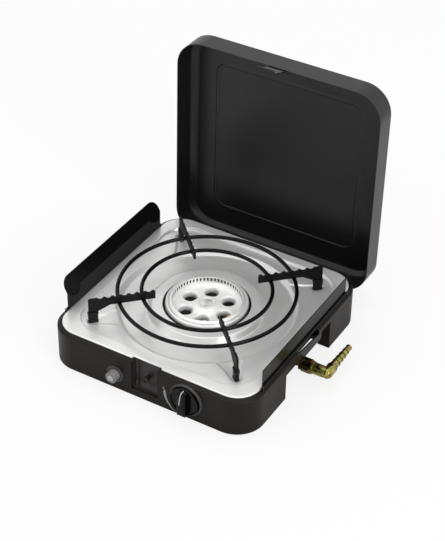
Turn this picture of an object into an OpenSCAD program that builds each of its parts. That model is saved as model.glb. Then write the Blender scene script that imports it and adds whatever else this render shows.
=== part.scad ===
// Single-burner camping gas stove with hinged lid and two folding windshields.
// Origin: centre of the footprint on the table. +X right, +Y back, +Z up, millimetres.
// Drawn with the lid open and both windshields raised.

/* [Base shell] */
// Overall width of the base shell
body_w = 312; // [306:1:326]
// Overall depth of the base shell
body_d = 317; // [312:1:330]
// Height of the shell from its lower edge to the shoulder crease
body_h = 53.6; // [52:0.2:58]
// Plan radius of the vertical corners
corner_r = 40; // [38:1:42]
// Wall thickness of the base shell
wall = 2; // [1.6:0.1:2.4]
// Width of the sloped shoulder between the crease and the tray
shoulder_w = 6; // [5:0.5:7]
// Rise of the shoulder over its width
shoulder_rise = 2; // [1:0.5:3]
// Height that the rubber feet lift the shell
foot_h = 1.5; // [1:0.5:3]

/* [Side cut-outs] */
// Front end of the raised edge, from the centre
cut_front = 60; // [50:1:70]
// Rear end of the raised edge, from the centre
cut_rear = 62; // [55:1:70]
// Height of the raised edge above the shell's lower edge
cut_h = 40; // [36:1:42]
// Front end of the inlet opening, from the centre
recess_front = 26; // [24:1:28]
// Rear end of the inlet opening, from the centre
recess_rear = 37; // [34:1:40]
// Height of the raised edge behind the inlet opening
recess_h = 46; // [45:0.5:47]

/* [Latch pocket] */
// Width of the front pocket
pocket_w = 40; // [36:1:46]
// Depth of the front pocket
pocket_depth = 12.5; // [12:0.5:14]
// Height of the pocket floor above the shell's lower edge
pocket_floor = 11.5; // [9:0.5:14]

/* [Drip tray] */
// Sheet thickness of the tray
tray_t = 1; // [0.8:0.1:1.2]
// Height of the tray's edge above the ledge
tray_edge_h = 2; // [1.6:0.1:2.4]
// Gap between the tray's edge and the shoulder
tray_gap = 0.8; // [0.6:0.1:1.2]
// Width of the tray's flat rim
tray_rim_w = 17; // [15:0.5:18]
// Drop of the panel below the rim
panel_drop = 3; // [2:0.5:3.5]
// Radius of the round step around the bowl
bowl_r = 124; // [120:0.5:126]
// Depth of the bowl below the panel
bowl_depth = 5.8; // [5:0.2:6.5]
// Outer radius of the flat ring around the burner
collar_r = 75; // [72:0.5:78]
// Depth of the foot channels below the panel
channel_drop = 1.6; // [1:0.1:2]

/* [Burner] */
// Radius of the burner body
burner_r = 57.2; // [55:0.1:58]
// Gap between the burner and the tray's opening
burner_gap = 2.3; // [1.8:0.1:3]
// Height of the slotted ring above the tray's collar
burner_rise = 7.5; // [6:0.5:8]
// Inner radius of the slotted ring
slot_ring_r = 47.6; // [46:0.2:48]
// Number of flame slots
slot_count = 60; // [40:1:64]
// Width of one flame slot
slot_w = 2.2; // [1.5:0.1:2.6]
// Number of air holes in the dish
hole_count = 6; // [4:1:6]
// Radius of one air hole
hole_r = 10.2; // [8:0.2:10.6]
// Radius of the circle of air holes
hole_pcr = 30.7; // [30:0.1:31.5]
// Angle of the first air hole
hole_angle = 49; // [0:1:59]

/* [Grate] */
// Wire radius of both rings
wire_r = 2.75; // [2.4:0.05:3]
// Centreline radius of the outer ring
ring_outer_r = 120.7; // [118:0.1:122]
// Centreline radius of the inner ring
ring_inner_r = 88.2; // [84:0.1:92]
// Height of the ring wires above the foot seats
ring_h = 27; // [26:0.5:28]
// Radial distance of the feet from the grate's centre
foot_s = 156.3; // [155:0.1:158]
// Thickness of the stamped arms
arm_t = 3; // [2.5:0.1:3.5]
// Spacing of the teeth along an arm
tooth_pitch = 11; // [9:0.5:13]

/* [Lid] */
// Depth of the lid
lid_depth = 41; // [41:0.5:44]
// Sheet thickness of the lid
lid_t = 1; // [0.8:0.1:1.2]
// Depth of the lid's straight skirt
skirt_h = 31.4; // [30:0.2:33]
// Angle that the lid stands open
lid_open = 91; // [85:1:92]
// Half width of the pressed square in the lid
lid_panel = 113; // [100:1:116]

/* [Windshields] */
// Length of each windshield
wing_len = 228; // [200:1:230]
// Height of the upright leaf above the hinge
leaf_h = 27; // [25:0.5:28]
// Length of the tilted leaf
flap_l = 20.4; // [18:0.2:21]
// Outward tilt of the upper leaf
flap_tilt = 29; // [25:1:31]
// Sheet thickness of the windshields
wing_t = 1; // [0.8:0.1:1.2]

/* [Controls] */
// Sideways place of the gas knob
knob_x = 64; // [58:1:70]
// Height of the gas knob's axis above the shell's lower edge
knob_h = 30.1; // [28.5:0.1:31]
// Radius of the knob's disc
knob_r = 21.4; // [19:0.1:21.6]
// Travel of the knob when pushed in
knob_push = 3; // [2:0.1:3]
// Sideways place of the igniter button, left of the centre
button_x = 45.5; // [42:0.5:50]
// Height of the igniter button's axis above the shell's lower edge
button_h = 24.3; // [22:0.1:26]
// Radius of the igniter button
button_r = 8.3; // [7.8:0.1:9]
// Travel of the igniter button
button_push = 5; // [3:0.5:5]

/* [Gas inlet] */
// Distance of the inlet axis in front of the centre
inlet_front = 8; // [6:0.5:10]
// Height of the inlet axis above the shell's lower edge
inlet_h = 21.5; // [20:0.5:24]
// Across-flats size of the inlet nut
nut_af = 18; // [17:1:19]
// Distance from the side wall to the hose tail's axis
tail_out = 33.5; // [31:0.5:36]
// Length of the hose tail from the elbow's centre
tail_l = 64; // [60:1:68]

/* [Hidden] */
$fn = 64;
e = 0.01;                                  // overlap that makes cuts clean
running = 0.05;                            // radial clearance of running fits
snug = 0.02;                               // radial clearance of fixed fits

// Heights
base_z = foot_h;                           // shell's lower edge
crease_z = base_z + body_h;                // crease between wall and shoulder
ledge_z = crease_z + shoulder_rise;        // ledge that carries the tray
tray_z = ledge_z + tray_edge_h;            // top of the tray's rim
panel_z = tray_z - panel_drop;             // top of the tray's panel
seat_z = panel_z - channel_drop;           // foot seats of the grate
bowl_z = panel_z - bowl_depth;             // floor of the tray's bowl
collar_z = tray_z - 1.1;                   // flat ring around the burner
wire_z = seat_z + ring_h;                  // centreline of the ring wires
cut_z = base_z + cut_h;                    // raised edge of the side cut-outs
recess_z = base_z + recess_h;              // raised edge behind the inlet opening
pan_z = base_z + 2.5;                      // underside of the bottom pan
pan_t = 1.2;
floor_z = pan_z + pan_t;                   // top of the bottom pan

// Plan of the base
side_x = body_w / 2;
front_y = -body_d / 2;
rear_y = body_d / 2;
inner_x = side_x - wall;
shoulder_run = 0.9;                        // crease bevel on top of the wall
ledge_t = 1.5;
ledge_w = 6;
tray_w = body_w - 2 * (shoulder_w + tray_gap);
tray_d = body_d - 2 * (shoulder_w + tray_gap);
tray_r = corner_r - shoulder_w - tray_gap;
panel_x = tray_w / 2 - tray_rim_w;         // edge of the panel
panel_y = tray_d / 2 - tray_rim_w;
step_w = 2;                                // width of the step down to the panel
grate_y = -2;                              // centre of burner and grate
return_d = 17.5;                           // depth of the walls that end a cut-out
pan_side = 127;                            // half width of the pan between the cut-outs
pan_gap = 0.3;
pan_lip = 5;
post_x = side_x - 13;
post_y = [front_y + 32, rear_y - 38];
post_r = 5;
screw_r = 1.5;
pad_x = side_x - 32;
pad_y = [front_y + 28, rear_y - 30];
pad_r = 9;
pad_stem_r = 2.5;

// Lid and hinge
rim_z = crease_z + 0.4;                    // lid rim when closed
lid_z = rim_z + lid_depth;                 // outer top of the closed lid
bevel_w = 11;                              // width of the lid's rounded shoulder
bead_w = 6;                                // pressed bead around the lid's square
bead_h = 0.8;
bead_front = 115;
bead_rear = 120;
hinge_y = rear_y - 13;
hinge_z = base_z + 32;
hinge_x = side_x - corner_r - 21;          // hinge arms, either side of the centre
arm_w = 18;                                // width of a hinge arm
strap_t = 1.6;
eye_r = 4;                                 // rolled eye of a hinge arm
hinge_pin_r = 2.4;
ear_gap = 0.4;
ear_t = 1.5;
ear_drop = 9.5;                            // ear below and above the pin
bracket_w = 22;                            // half width of a hinge bracket
rivet_r = 1.5;
rivet_z = [rim_z + 14, rim_z + 24];

// Latch
latch_y = front_y + 3.9;                   // latch pin when the lid is closed
latch_z = rim_z + 4.5;
latch_swing = 20;                          // resting swing of the freed latch
latch_t = 1.5;
latch_w = 26;
latch_drop = 38;                           // tongue's end below the pin
latch_eye_r = 2.5;
latch_pin_r = 1.2;
hook_z = base_z + 30.5;                    // axis of the catch stud
hook_r = 4.5;                              // head of the catch stud
window_gap = 1.5;                          // play between stud and latch window

// Windshields
wing_x = tray_w / 2 + 2.2;
wing_z = tray_z + 1.1;
wing_pin_r = 0.85;
knuckle_r = wing_pin_r + running + wing_t;
leaf_top = tray_z + leaf_h;
flap_r = 15;                               // rounded upper corners
lug_t = 3;
lug_gap = 0.4;

// Burner
burner_wall = 2.5;
burner_z = collar_z - 0.5;                 // joint between burner bowl and ring
ring_top_z = collar_z + burner_rise;       // top of the slotted ring
slot_z = [collar_z + 1.3, ring_top_z - 1.2];
dish_t = 1;
dish_z = collar_z - 4.5;                   // top of the dish
well_r = 41.5;                             // open middle of the burner bowl
hub_r = 12;
hub_stem_r = 3;
boss_h = 3.4;                              // rise of the dish under the hub
plate_t = 1.5;
plate_r = 30;                              // open middle of the burner bracket

// Gas train
knob_z = base_z + knob_h;
tube_r = 9.45;                             // mixing tube at the burner
bowl_floor_z = knob_z - tube_r - 2.65;     // underside of the burner bowl
plate_z = bowl_floor_z - plate_t;          // underside of the burner bracket
tube_start = burner_r - 4;                 // distances along the mixing tube
mouth_r = 10.5;
valve_w = 22;
valve_h = 26;
port_r = 4;
valve_front = front_y + 12.5;
valve_back = valve_front + valve_h;
valve_mid = valve_front + 13;
valve_port = [knob_x + 1.4, valve_back];     // where the jet's boss meets the valve
tube_angle = atan2(valve_port[1] - grate_y, valve_port[0]);
tube_mouth = norm(valve_port - [0, grate_y]) - 22.9;
jet_at = tube_mouth + 7;
spindle_r = 4;
collar_y = front_y + 4;                    // front of the push collar
collar_l = 3;
collar_od = 7.5;
spindle_hole_r = 5.5;                      // opening in the front wall
knob_gap = knob_push + 0.3;                // knob's rear face off the front wall
disc_t = 3.7;
knob_front = front_y - knob_gap - disc_t;
knob_rim_w = 2.6;                          // raised rim of the knob's disc
knob_sink = 1.6;                           // depth of the disc inside its rim
grip_w = 12.2;
grip_h = 7.5;                              // bar grip in front of the rim
lip_h = 3;                                 // raised lip round the knob
pipe_r = 3;
inlet_y = -inlet_front;
inlet_z = base_z + inlet_h;
inlet_face = side_x - 4;                   // outer face of the inlet bracket
nut_l = 15;
elbow_r = 8.5;
tail_x = side_x + tail_out;
tail_r = 6.5;                              // hose tail at its first barb
bore_r = 2.5;

// Ignition and flame safety
button_z = base_z + button_h;
sleeve_r = 11;
bezel_h = 1.2;
bezel_gap = 0.9;                           // groove between button and bezel
sleeve_l = 26;
button_l = 18;                             // button behind the front wall
button_out = 12;                           // button in front of the front wall
probe_s = 36;                              // electrode and thermocouple, from the centre
electrode_a = 287;
thermo_a = 349;
insulator_r = 3.5;
insulator_z = [plate_z - 6, dish_z - 3.5];
thermo_r = 1.6;
lead_r = 1.6;

// ---------- shared shapes ----------

// Rounded rectangle, centred
module rrect(w, d, r) {
    square([w - 2 * r, d], center = true);
    square([w, d - 2 * r], center = true);
    for (x = [-1, 1], y = [-1, 1]) translate([x * (w / 2 - r), y * (d / 2 - r)]) circle(r);
}

// Sweeps a section around a rounded rectangle; the section's x runs out from the corner centre
module sweep(w, d, r) {
    for (k = [0:3]) {
        cx = (k == 0 || k == 3 ? 1 : -1) * (w / 2 - r);
        cy = (k < 2 ? 1 : -1) * (d / 2 - r);
        run = k % 2 == 0 ? w - 2 * r : d - 2 * r;
        translate([cx, cy, 0]) rotate([0, 0, 90 * k]) {
            rotate_extrude(angle = 90) children();
            rotate([0, 0, 90]) translate([0, run, 0]) rotate([90, 0, 0])
                linear_extrude(run) children();
        }
    }
}

// Straight band between two points of an outline, with round ends
module band(a, b, t) {
    d = b - a;
    translate(a) rotate(atan2(d[1], d[0])) translate([0, -t / 2]) square([norm(d), t]);
    translate(a) circle(t / 2);
    translate(b) circle(t / 2);
}

// Cylinder between two points
module rod(a, b, r) {
    d = b - a;
    l = norm(d);
    translate(a) rotate([0, acos(d[2] / l), atan2(d[1], d[0])]) cylinder(h = l, r = r);
}

// Direction of a wire's leg, and the length that the bend at a point takes off its legs
function leg(p, i) = [for (c = (p[i + 1] - p[i]) / norm(p[i + 1] - p[i]))
                      abs(c - round(c)) < 1e-9 ? round(c) : c];
function turn(p, i) = acos(leg(p, i - 1) * leg(p, i));
function trim(p, i, bend) = i == 0 || i == len(p) - 1 ? 0 : bend * tan(turn(p, i) / 2);

// Rotation that carries X and Y to two unit vectors at right angles
function frame(ex, ey) = abs(ex[2]) > 0.9999 ? [0, asin(-ex[2]), atan2(-ey[0], ey[1])]
    : [atan2(ey[2], cross(ex, ey)[2]), asin(-ex[2]), atan2(ex[1], ex[0])];

// Round wire along a list of points, with a round bend at each inner point
module wire(p, r, bend) {
    for (i = [0:len(p) - 2])
        rod(p[i] + trim(p, i, bend) * leg(p, i), p[i + 1] - trim(p, i + 1, bend) * leg(p, i), r);
    for (i = [1:len(p) - 2]) {
        u = leg(p, i - 1);
        v = leg(p, i) - (u * leg(p, i)) * u;
        n = v / norm(v);
        translate(p[i] - trim(p, i, bend) * u + bend * n) rotate(frame(-n, u))
            rotate_extrude(angle = turn(p, i)) translate([bend, 0]) circle(r);
    }
}

// Cylinder along +Y from y0 to y1
module ycyl(x, z, y0, y1, r) {
    translate([x, y0, z]) rotate([-90, 0, 0]) cylinder(h = y1 - y0, r = r);
}

// Cylinder along +X from x0 to x1
module xcyl(y, z, x0, x1, r) {
    translate([x0, y, z]) rotate([0, 90, 0]) cylinder(h = x1 - x0, r = r);
}

// Box from its lowest to its highest corner
module block(a, b) {
    translate(a) cube(b - a);
}

// Box between two X values on either side, s = -1 or 1
module side_block(s, x0, x1, y0, y1, z0, z1) {
    block([min(s * x0, s * x1), y0, z0], [max(s * x0, s * x1), y1, z1]);
}

// Extrudes an X-Z outline along +Y from y0 to y1
module yslab(y0, y1) {
    translate([0, y1, 0]) rotate([90, 0, 0]) linear_extrude(y1 - y0) children();
}

// Extrudes a Y-Z outline along +X from x0 to x1
module xslab(x0, x1) {
    translate([x0, 0, 0]) rotate([90, 0, 90]) linear_extrude(x1 - x0) children();
}

// Hexagonal prism along +X, af across its flats
module xhex(y, z, x0, x1, af) {
    translate([x0, y, z]) rotate([0, 90, 0]) cylinder(h = x1 - x0, d = af / cos(30), $fn = 6);
}

// Carries closed-lid geometry to the open lid
module opened() {
    translate([0, hinge_y, hinge_z]) rotate([-lid_open, 0, 0])
        translate([0, -hinge_y, -hinge_z]) children();
}

// Swings the latch out on its pin
module swung() {
    translate([0, latch_y, latch_z]) rotate([-latch_swing, 0, 0])
        translate([0, -latch_y, -latch_z]) children();
}

// Point at a radius and angle around the burner
function around(r, a, z) = [r * cos(a), grate_y + r * sin(a), z];

// Height of the shell's shoulder at a distance from the centre line
function shoulder_z(x) = ledge_z - shoulder_rise * (x - side_x + shoulder_w)
                         / (shoulder_w - shoulder_run);

// ---------- base ----------

module base_shell() color("#262524") difference() {
    union() {
        sweep(body_w, body_d, corner_r) polygon([
            [corner_r - wall, base_z], [corner_r, base_z],
            [corner_r, crease_z - 1], [corner_r - shoulder_run, crease_z],
            [corner_r - shoulder_w, ledge_z],
            [corner_r - shoulder_w - ledge_w, ledge_z],
            [corner_r - shoulder_w - ledge_w, ledge_z - ledge_t],
            [corner_r - shoulder_w + 0.5, ledge_z - ledge_t - 0.2],
            [corner_r - wall, crease_z - 3]]);
        pocket_walls();
        for (s = [-1, 1]) {
            for (y = [-cut_front - wall, cut_rear])
                side_block(s, side_x - return_d, side_x - 1, y, y + wall, base_z, recess_z + 1);
            for (y = post_y) translate([s * post_x, y, floor_z])
                cylinder(h = ledge_z - 0.5 - floor_z, r = post_r);
        }
    }
    pocket_box(0, 1);
    for (s = [-1, 1]) {
        side_block(s, side_x - return_d - 1, side_x + 1, -cut_front, cut_rear, 0, cut_z);
        // notch for a hinge arm, open at the top
        block([s * hinge_x - arm_w / 2 - ear_t, rear_y - 13, hinge_z - 13.5],
              [s * hinge_x + arm_w / 2 + ear_t, rear_y + 1, ledge_z + 1]);
        for (y = post_y) translate([s * post_x, y, 0])
            cylinder(h = floor_z + 16, r = screw_r + snug);
    }
    recess_cut();
    ycyl(knob_x, knob_z, front_y - 1, front_y + wall + 1, spindle_hole_r);
    ycyl(-button_x, button_z, front_y - 1, front_y + wall + 1, sleeve_r + snug);
    ycyl(0, hook_z, front_y + pocket_depth - 1, front_y + pocket_depth + wall + 1, 2 + snug);
}

// Latch pocket in the front wall: its walls, or the hollow inside them
module pocket_box(t, cut) {
    block([-pocket_w / 2 - t, front_y - cut, base_z + pocket_floor - t],
          [pocket_w / 2 + t, front_y + pocket_depth + t, ledge_z + cut]);
}

// Walls of the latch pocket, cut back under the slope of the shoulder
module pocket_walls() difference() {
    pocket_box(wall, 0);
    xslab(-pocket_w / 2 - wall - 1, pocket_w / 2 + wall + 1) polygon([
        [front_y - 1, crease_z], [front_y + shoulder_run, crease_z],
        [front_y + shoulder_w, ledge_z], [front_y + shoulder_w, ledge_z + 1],
        [front_y - 1, ledge_z + 1]]);
}

// Opening above the gas inlet, through wall and shoulder, with a lower strip behind it
module recess_cut() xslab(side_x - shoulder_w + 0.5, side_x + 1) {
    r = 8;
    top = ledge_z + 1;
    low = cut_z - 1;
    polygon([[-recess_front, low], [-recess_front, top], [recess_rear - 9, top],
             [recess_rear - 9, ledge_z], [recess_rear, recess_z], [cut_rear, recess_z],
             [cut_rear, low]]);
    difference() {
        translate([-recess_front - r, ledge_z - r]) square([r + e, r + 1]);
        translate([-recess_front - r, ledge_z - r]) circle(r);
    }
}

// Outline of the bottom pan, drawn in by an inset
module pan_outline(inset) {
    slack = wall + pan_gap;
    difference() {
        rrect(body_w - 2 * (slack + inset), body_d - 2 * (slack + inset),
              corner_r - slack - inset);
        for (s = [-1, 1]) {
            x0 = s > 0 ? pan_side - inset : -side_x;
            translate([x0, -cut_front - slack - inset])
                square([side_x - pan_side + inset,
                        cut_front + cut_rear + 2 * (slack + inset)]);
        }
    }
}

module bottom_pan() color("#3a3938") difference() {
    union() {
        translate([0, 0, pan_z]) linear_extrude(pan_t) pan_outline(0);
        translate([0, 0, pan_z]) linear_extrude(pan_t + pan_lip) difference() {
            pan_outline(0);
            pan_outline(pan_t);
        }
    }
    translate([0, grate_y, pan_z - 1]) cylinder(h = pan_t + 2, r = plate_r);
    for (s = [-1, 1]) {
        for (y = post_y) translate([s * post_x, y, pan_z - 1])
            cylinder(h = pan_t + 2, r = screw_r + snug);
        for (y = pad_y) translate([s * pad_x, y, pan_z - 1])
            cylinder(h = pan_t + 2, r = pad_stem_r + snug);
    }
    for (p = pan_screws) translate([p[0], p[1], pan_z - 1])
        cylinder(h = pan_t + 2, r = screw_r + snug);
}

module rubber_feet() color("#1b1b1b")
    for (s = [-1, 1], y = pad_y) translate([s * pad_x, y, 0]) {
        cylinder(h = pan_z, r = pad_r);
        cylinder(h = floor_z + 1.5, r = pad_stem_r);
        translate([0, 0, floor_z]) cylinder(h = 1.5, r = pad_stem_r + 1.5);
    }

module bottom_screws() color("#8d8d8d")
    for (s = [-1, 1], y = post_y) translate([s * post_x, y, 0]) {
        translate([0, 0, base_z + 0.7]) cylinder(h = pan_z - base_z - 0.7, r = 3.2);
        translate([0, 0, pan_z]) cylinder(h = 16, r = screw_r);
    }

// Screws that hold the brackets to the pan, the burner to its bracket and the valve
leg_x = 75;                                // outer face of the burner bracket's legs
leg_w = 24;
foot_l = 16;
valve_foot = 48;
pan_screws = [[-leg_x - 8, grate_y - 6], [-leg_x - 8, grate_y + 6],
              [leg_x + 8, grate_y - 6], [leg_x + 8, grate_y + 6],
              [knob_x - 18, valve_mid], [knob_x + 18, valve_mid]];
burner_screw_s = 49;
burner_screw_a = [30, 150, 270];
valve_screw = 8;

module inner_screws() color("#8d8d8d") {
    for (p = pan_screws) translate([p[0], p[1], 0]) {
        translate([0, 0, floor_z + plate_t]) cylinder(h = 1.8, r = 2.8);
        translate([0, 0, pan_z - 1.5]) cylinder(h = pan_t + plate_t + 2, r = screw_r);
    }
    for (a = burner_screw_a) translate(around(burner_screw_s, a, 0)) {
        translate([0, 0, plate_z - 1.8]) cylinder(h = 1.8, r = 2.8);
        translate([0, 0, plate_z - 0.5]) cylinder(h = plate_t + 2.5, r = screw_r);
    }
    for (s = [-1, 1]) {
        ycyl(knob_x + s * valve_screw, knob_z + valve_screw,
             valve_front - plate_t - 1.6, valve_front - plate_t, 2.4);
        ycyl(knob_x + s * valve_screw, knob_z + valve_screw,
             valve_front - plate_t - 0.5, valve_front + 6, 1.3);
    }
}

// ---------- drip tray ----------

bowl_run = 6.5;                            // width of the bowl's sloping sides
collar_run = 5.5;
tray_hole_r = burner_r + burner_gap;

// Outline of the tray with its notch for the latch pocket
module tray_outline(inset) difference() {
    rrect(tray_w - 2 * inset, tray_d - 2 * inset, tray_r - inset);
    translate([-pocket_w / 2 - 0.5 - inset, -tray_d / 2 - 1])
        square([pocket_w + 1 + 2 * inset,
                1 + tray_d / 2 + front_y + pocket_depth - 0.3 + inset]);
}

// Wedge channels for the grate's feet, wide at the bowl
module channels(inset, z0, z1) translate([0, grate_y, z0]) linear_extrude(z1 - z0)
    for (a = [45:90:315]) rotate(a) {
        polygon([[bowl_r - 6, -channel_w / 2 + inset], [bowl_r - 6, channel_w / 2 - inset],
                 [bowl_r + 16, channel_w / 4 + 1 - inset],
                 [foot_s + 2, channel_end - inset], [foot_s + 2, inset - channel_end],
                 [bowl_r + 16, inset - 1 - channel_w / 4]]);
        translate([foot_s + 2, 0]) circle(channel_end - inset);
    }
channel_w = 37;
channel_end = 6.7;

// Dished middle of the tray with the flat ring around the burner
module bowl() {
    top = [[tray_hole_r, collar_z - 3], [tray_hole_r, collar_z - 0.5],
           [tray_hole_r + 0.5, collar_z], [collar_r, collar_z],
           [collar_r + 1.5, collar_z - 0.8],
           [collar_r + collar_run - 1.5, bowl_z + 0.8], [collar_r + collar_run, bowl_z],
           [bowl_r - bowl_run, bowl_z], [bowl_r - bowl_run + 2, bowl_z + 0.5],
           [bowl_r - 1.5, panel_z - 0.8], [bowl_r, panel_z]];
    under = [[bowl_r + 0.4, panel_z - tray_t], [bowl_r - 0.8, panel_z - 1.5],
             [bowl_r - bowl_run + 2.7, bowl_z - 0.4], [bowl_r - bowl_run, bowl_z - tray_t],
             [collar_r + collar_run, bowl_z - tray_t],
             [collar_r + collar_run - 2.2, bowl_z + 0.2],
             [collar_r + 0.6, collar_z - 1.4], [collar_r - 0.5, collar_z - tray_t],
             [tray_hole_r + 1, collar_z - tray_t], [tray_hole_r + 1, collar_z - 3]];
    translate([0, grate_y, 0]) rotate_extrude($fn = 96) polygon(concat(top, under));
}

module drip_tray() color("#c9c9c9") {
    // rolled rim, standing on the ledge
    difference() {
        union() {
            translate([0, 0, ledge_z]) linear_extrude(tray_edge_h - 0.6) tray_outline(0);
            translate([0, 0, tray_z - 0.7]) linear_extrude(0.7) tray_outline(0.4);
        }
        translate([0, 0, ledge_z - 1]) linear_extrude(tray_edge_h - tray_t + 1)
            tray_outline(tray_t);
        translate([0, 0, ledge_z - 1]) linear_extrude(tray_edge_h + 2)
            rrect(2 * panel_x, 2 * panel_y, tray_r - tray_rim_w);
    }
    difference() {
        union() {
            // step down to the panel
            sweep(2 * panel_x + 2 * e, 2 * panel_y + 2 * e, tray_r - tray_rim_w) polygon([
                [tray_r - tray_rim_w, tray_z - tray_t], [tray_r - tray_rim_w, tray_z],
                [tray_r - tray_rim_w - step_w, panel_z],
                [tray_r - tray_rim_w - step_w - 1, panel_z],
                [tray_r - tray_rim_w - step_w - 1, panel_z - tray_t],
                [tray_r - tray_rim_w - step_w + 0.4, panel_z - tray_t]]);
            translate([0, 0, panel_z - tray_t]) linear_extrude(tray_t) difference() {
                rrect(2 * (panel_x - step_w - 0.5), 2 * (panel_y - step_w - 0.5),
                      tray_r - tray_rim_w - step_w - 0.5);
                translate([0, grate_y]) circle(bowl_r - 0.4, $fn = 96);
            }
            bowl();
            difference() {
                channels(0, seat_z - tray_t, panel_z);
                translate([0, grate_y, seat_z - tray_t - 1])
                    cylinder(h = 5, r = bowl_r - 2.6, $fn = 96);
            }
        }
        channels(tray_t, seat_z, panel_z + 1);
    }
}

// ---------- burner ----------

module burner_bowl() color("#8f8f8d") difference() {
    translate([0, grate_y, 0]) rotate_extrude() polygon([
        [well_r, bowl_floor_z], [burner_r, bowl_floor_z], [burner_r, burner_z],
        [burner_r - burner_wall, burner_z],
        [burner_r - burner_wall, bowl_floor_z + burner_wall],
        [well_r + burner_wall, bowl_floor_z + burner_wall],
        [well_r + burner_wall, dish_z - dish_t - burner_wall],
        [slot_ring_r + burner_wall, dish_z - dish_t - burner_wall],
        [slot_ring_r + burner_wall, burner_z - 2], [slot_ring_r, burner_z - 2],
        [slot_ring_r, dish_z - dish_t], [well_r, dish_z - dish_t]]);
    along_tube() translate([0, 0, burner_r - 8]) cylinder(h = 12, r = tube_r + snug);
    for (a = burner_screw_a) translate(around(burner_screw_s, a, bowl_floor_z - 1))
        cylinder(h = 3.2, r = screw_r + snug);
}

module burner_ring() color("#b4b4b2") difference() {
    r1 = slot_ring_r + burner_wall;
    r2 = burner_r - burner_wall;
    translate([0, grate_y, 0]) rotate_extrude($fn = 96) polygon([
        [burner_r, burner_z], [burner_r, burner_z + 1.7], [burner_r - 0.6, burner_z + 3.8],
        [burner_r - 2.2, burner_z + 6], [burner_r - 4.4, ring_top_z - 0.5],
        [burner_r - 6.7, ring_top_z], [slot_ring_r + 0.6, ring_top_z],
        [slot_ring_r, ring_top_z - 0.6], [slot_ring_r, burner_z - 2], [r1, burner_z - 2],
        [r1, ring_top_z - 2.4], [r2 - 3.4, ring_top_z - 2.4], [r2 - 1.8, ring_top_z - 3.2],
        [r2 - 0.5, burner_z + 3], [r2, burner_z + 1.3], [r2, burner_z]]);
    for (i = [0:slot_count - 1]) translate([0, grate_y, 0]) rotate(360 * i / slot_count)
        block([slot_ring_r - 3, -slot_w / 2, slot_z[0]], [r1 + 1, slot_w / 2, slot_z[1]]);
}

// Pressed dish that rises to a flat boss in the middle
module burner_dish() color("#a9a9a7") difference() {
    run = 3.6;
    r = slot_ring_r - 0.1;
    boss = dish_z + boss_h;
    translate([0, grate_y, 0]) rotate_extrude() polygon([
        [0, boss - dish_t], [hub_r + 0.8, boss - dish_t], [hub_r + 2.6, boss - 1.6],
        [hub_r + 7.6, dish_z - 0.4], [hub_r + 10.8, dish_z - dish_t],
        [r - run + 0.4, dish_z - dish_t], [r, dish_z + run - 1.4], [r, dish_z + run],
        [r - run, dish_z], [hub_r + 11, dish_z], [hub_r + 8, dish_z + 0.6],
        [hub_r + 3, boss - 0.6], [hub_r + 1, boss], [0, boss]]);
    for (i = [0:hole_count - 1])
        translate(around(hole_pcr, hole_angle + 360 * i / hole_count, dish_z - 3))
            cylinder(h = 6, r = hole_r);
    translate([0, grate_y, dish_z]) cylinder(h = 6, r = hub_stem_r + snug);
}

module burner_hub() color("#b4b4b2") translate([0, grate_y, dish_z + boss_h]) rotate_extrude()
    polygon([[0, -dish_t - 1.2], [hub_stem_r + 2, -dish_t - 1.2], [hub_stem_r + 2, -dish_t],
             [hub_stem_r, -dish_t], [hub_stem_r, 0], [hub_r, 0], [hub_r, 1.4],
             [hub_r - 0.6, 2], [hub_r - 1.4, 2], [hub_r - 2, 1.5], [0, 2]]);

// Ring plate under the burner with two legs that stand on the pan
module burner_bracket() color("#7d7d7b") difference() {
    union() {
        translate([0, grate_y, plate_z]) cylinder(h = plate_t, r = burner_r);
        for (s = [-1, 1]) {
            side_block(s, plate_r + 10, leg_x, grate_y - leg_w / 2, grate_y + leg_w / 2,
                       plate_z, plate_z + plate_t);
            side_block(s, leg_x - plate_t, leg_x, grate_y - leg_w / 2, grate_y + leg_w / 2,
                       floor_z, plate_z + plate_t);
            side_block(s, leg_x - plate_t, leg_x + foot_l, grate_y - leg_w / 2,
                       grate_y + leg_w / 2, floor_z, floor_z + plate_t);
        }
    }
    translate([0, grate_y, plate_z - 1]) cylinder(h = plate_t + 2, r = plate_r);
    for (p = pan_screws) translate([p[0], p[1], floor_z - 1])
        cylinder(h = plate_t + 2, r = screw_r + snug);
    for (a = burner_screw_a) translate(around(burner_screw_s, a, plate_z - 1))
        cylinder(h = plate_t + 2, r = screw_r + snug);
    translate(around(probe_s, electrode_a, plate_z - 1))
        cylinder(h = plate_t + 2, r = insulator_r + snug);
    translate(around(probe_s, thermo_a, plate_z - 1))
        cylinder(h = plate_t + 2, r = thermo_r + snug);
}

// Frame whose Z axis runs from the burner's centre along the mixing tube
module along_tube() translate([0, grate_y, knob_z]) rotate([0, 0, tube_angle])
    rotate([0, 90, 0]) children();

module mixing_tube() color("#9b9b99") along_tube() rotate_extrude() polygon([
    [tube_r - plate_t, tube_start], [tube_r, tube_start], [tube_r, tube_start + 7],
    [throat_r, throat_s], [throat_r, throat_s + 10], [mouth_r, tube_mouth],
    [mouth_r - plate_t, tube_mouth], [throat_r - plate_t, throat_s + 10],
    [throat_r - plate_t, throat_s], [tube_r - plate_t, tube_start + 7]]);
throat_r = 7.2;                            // narrow middle of the mixing tube
throat_s = 80;

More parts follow.
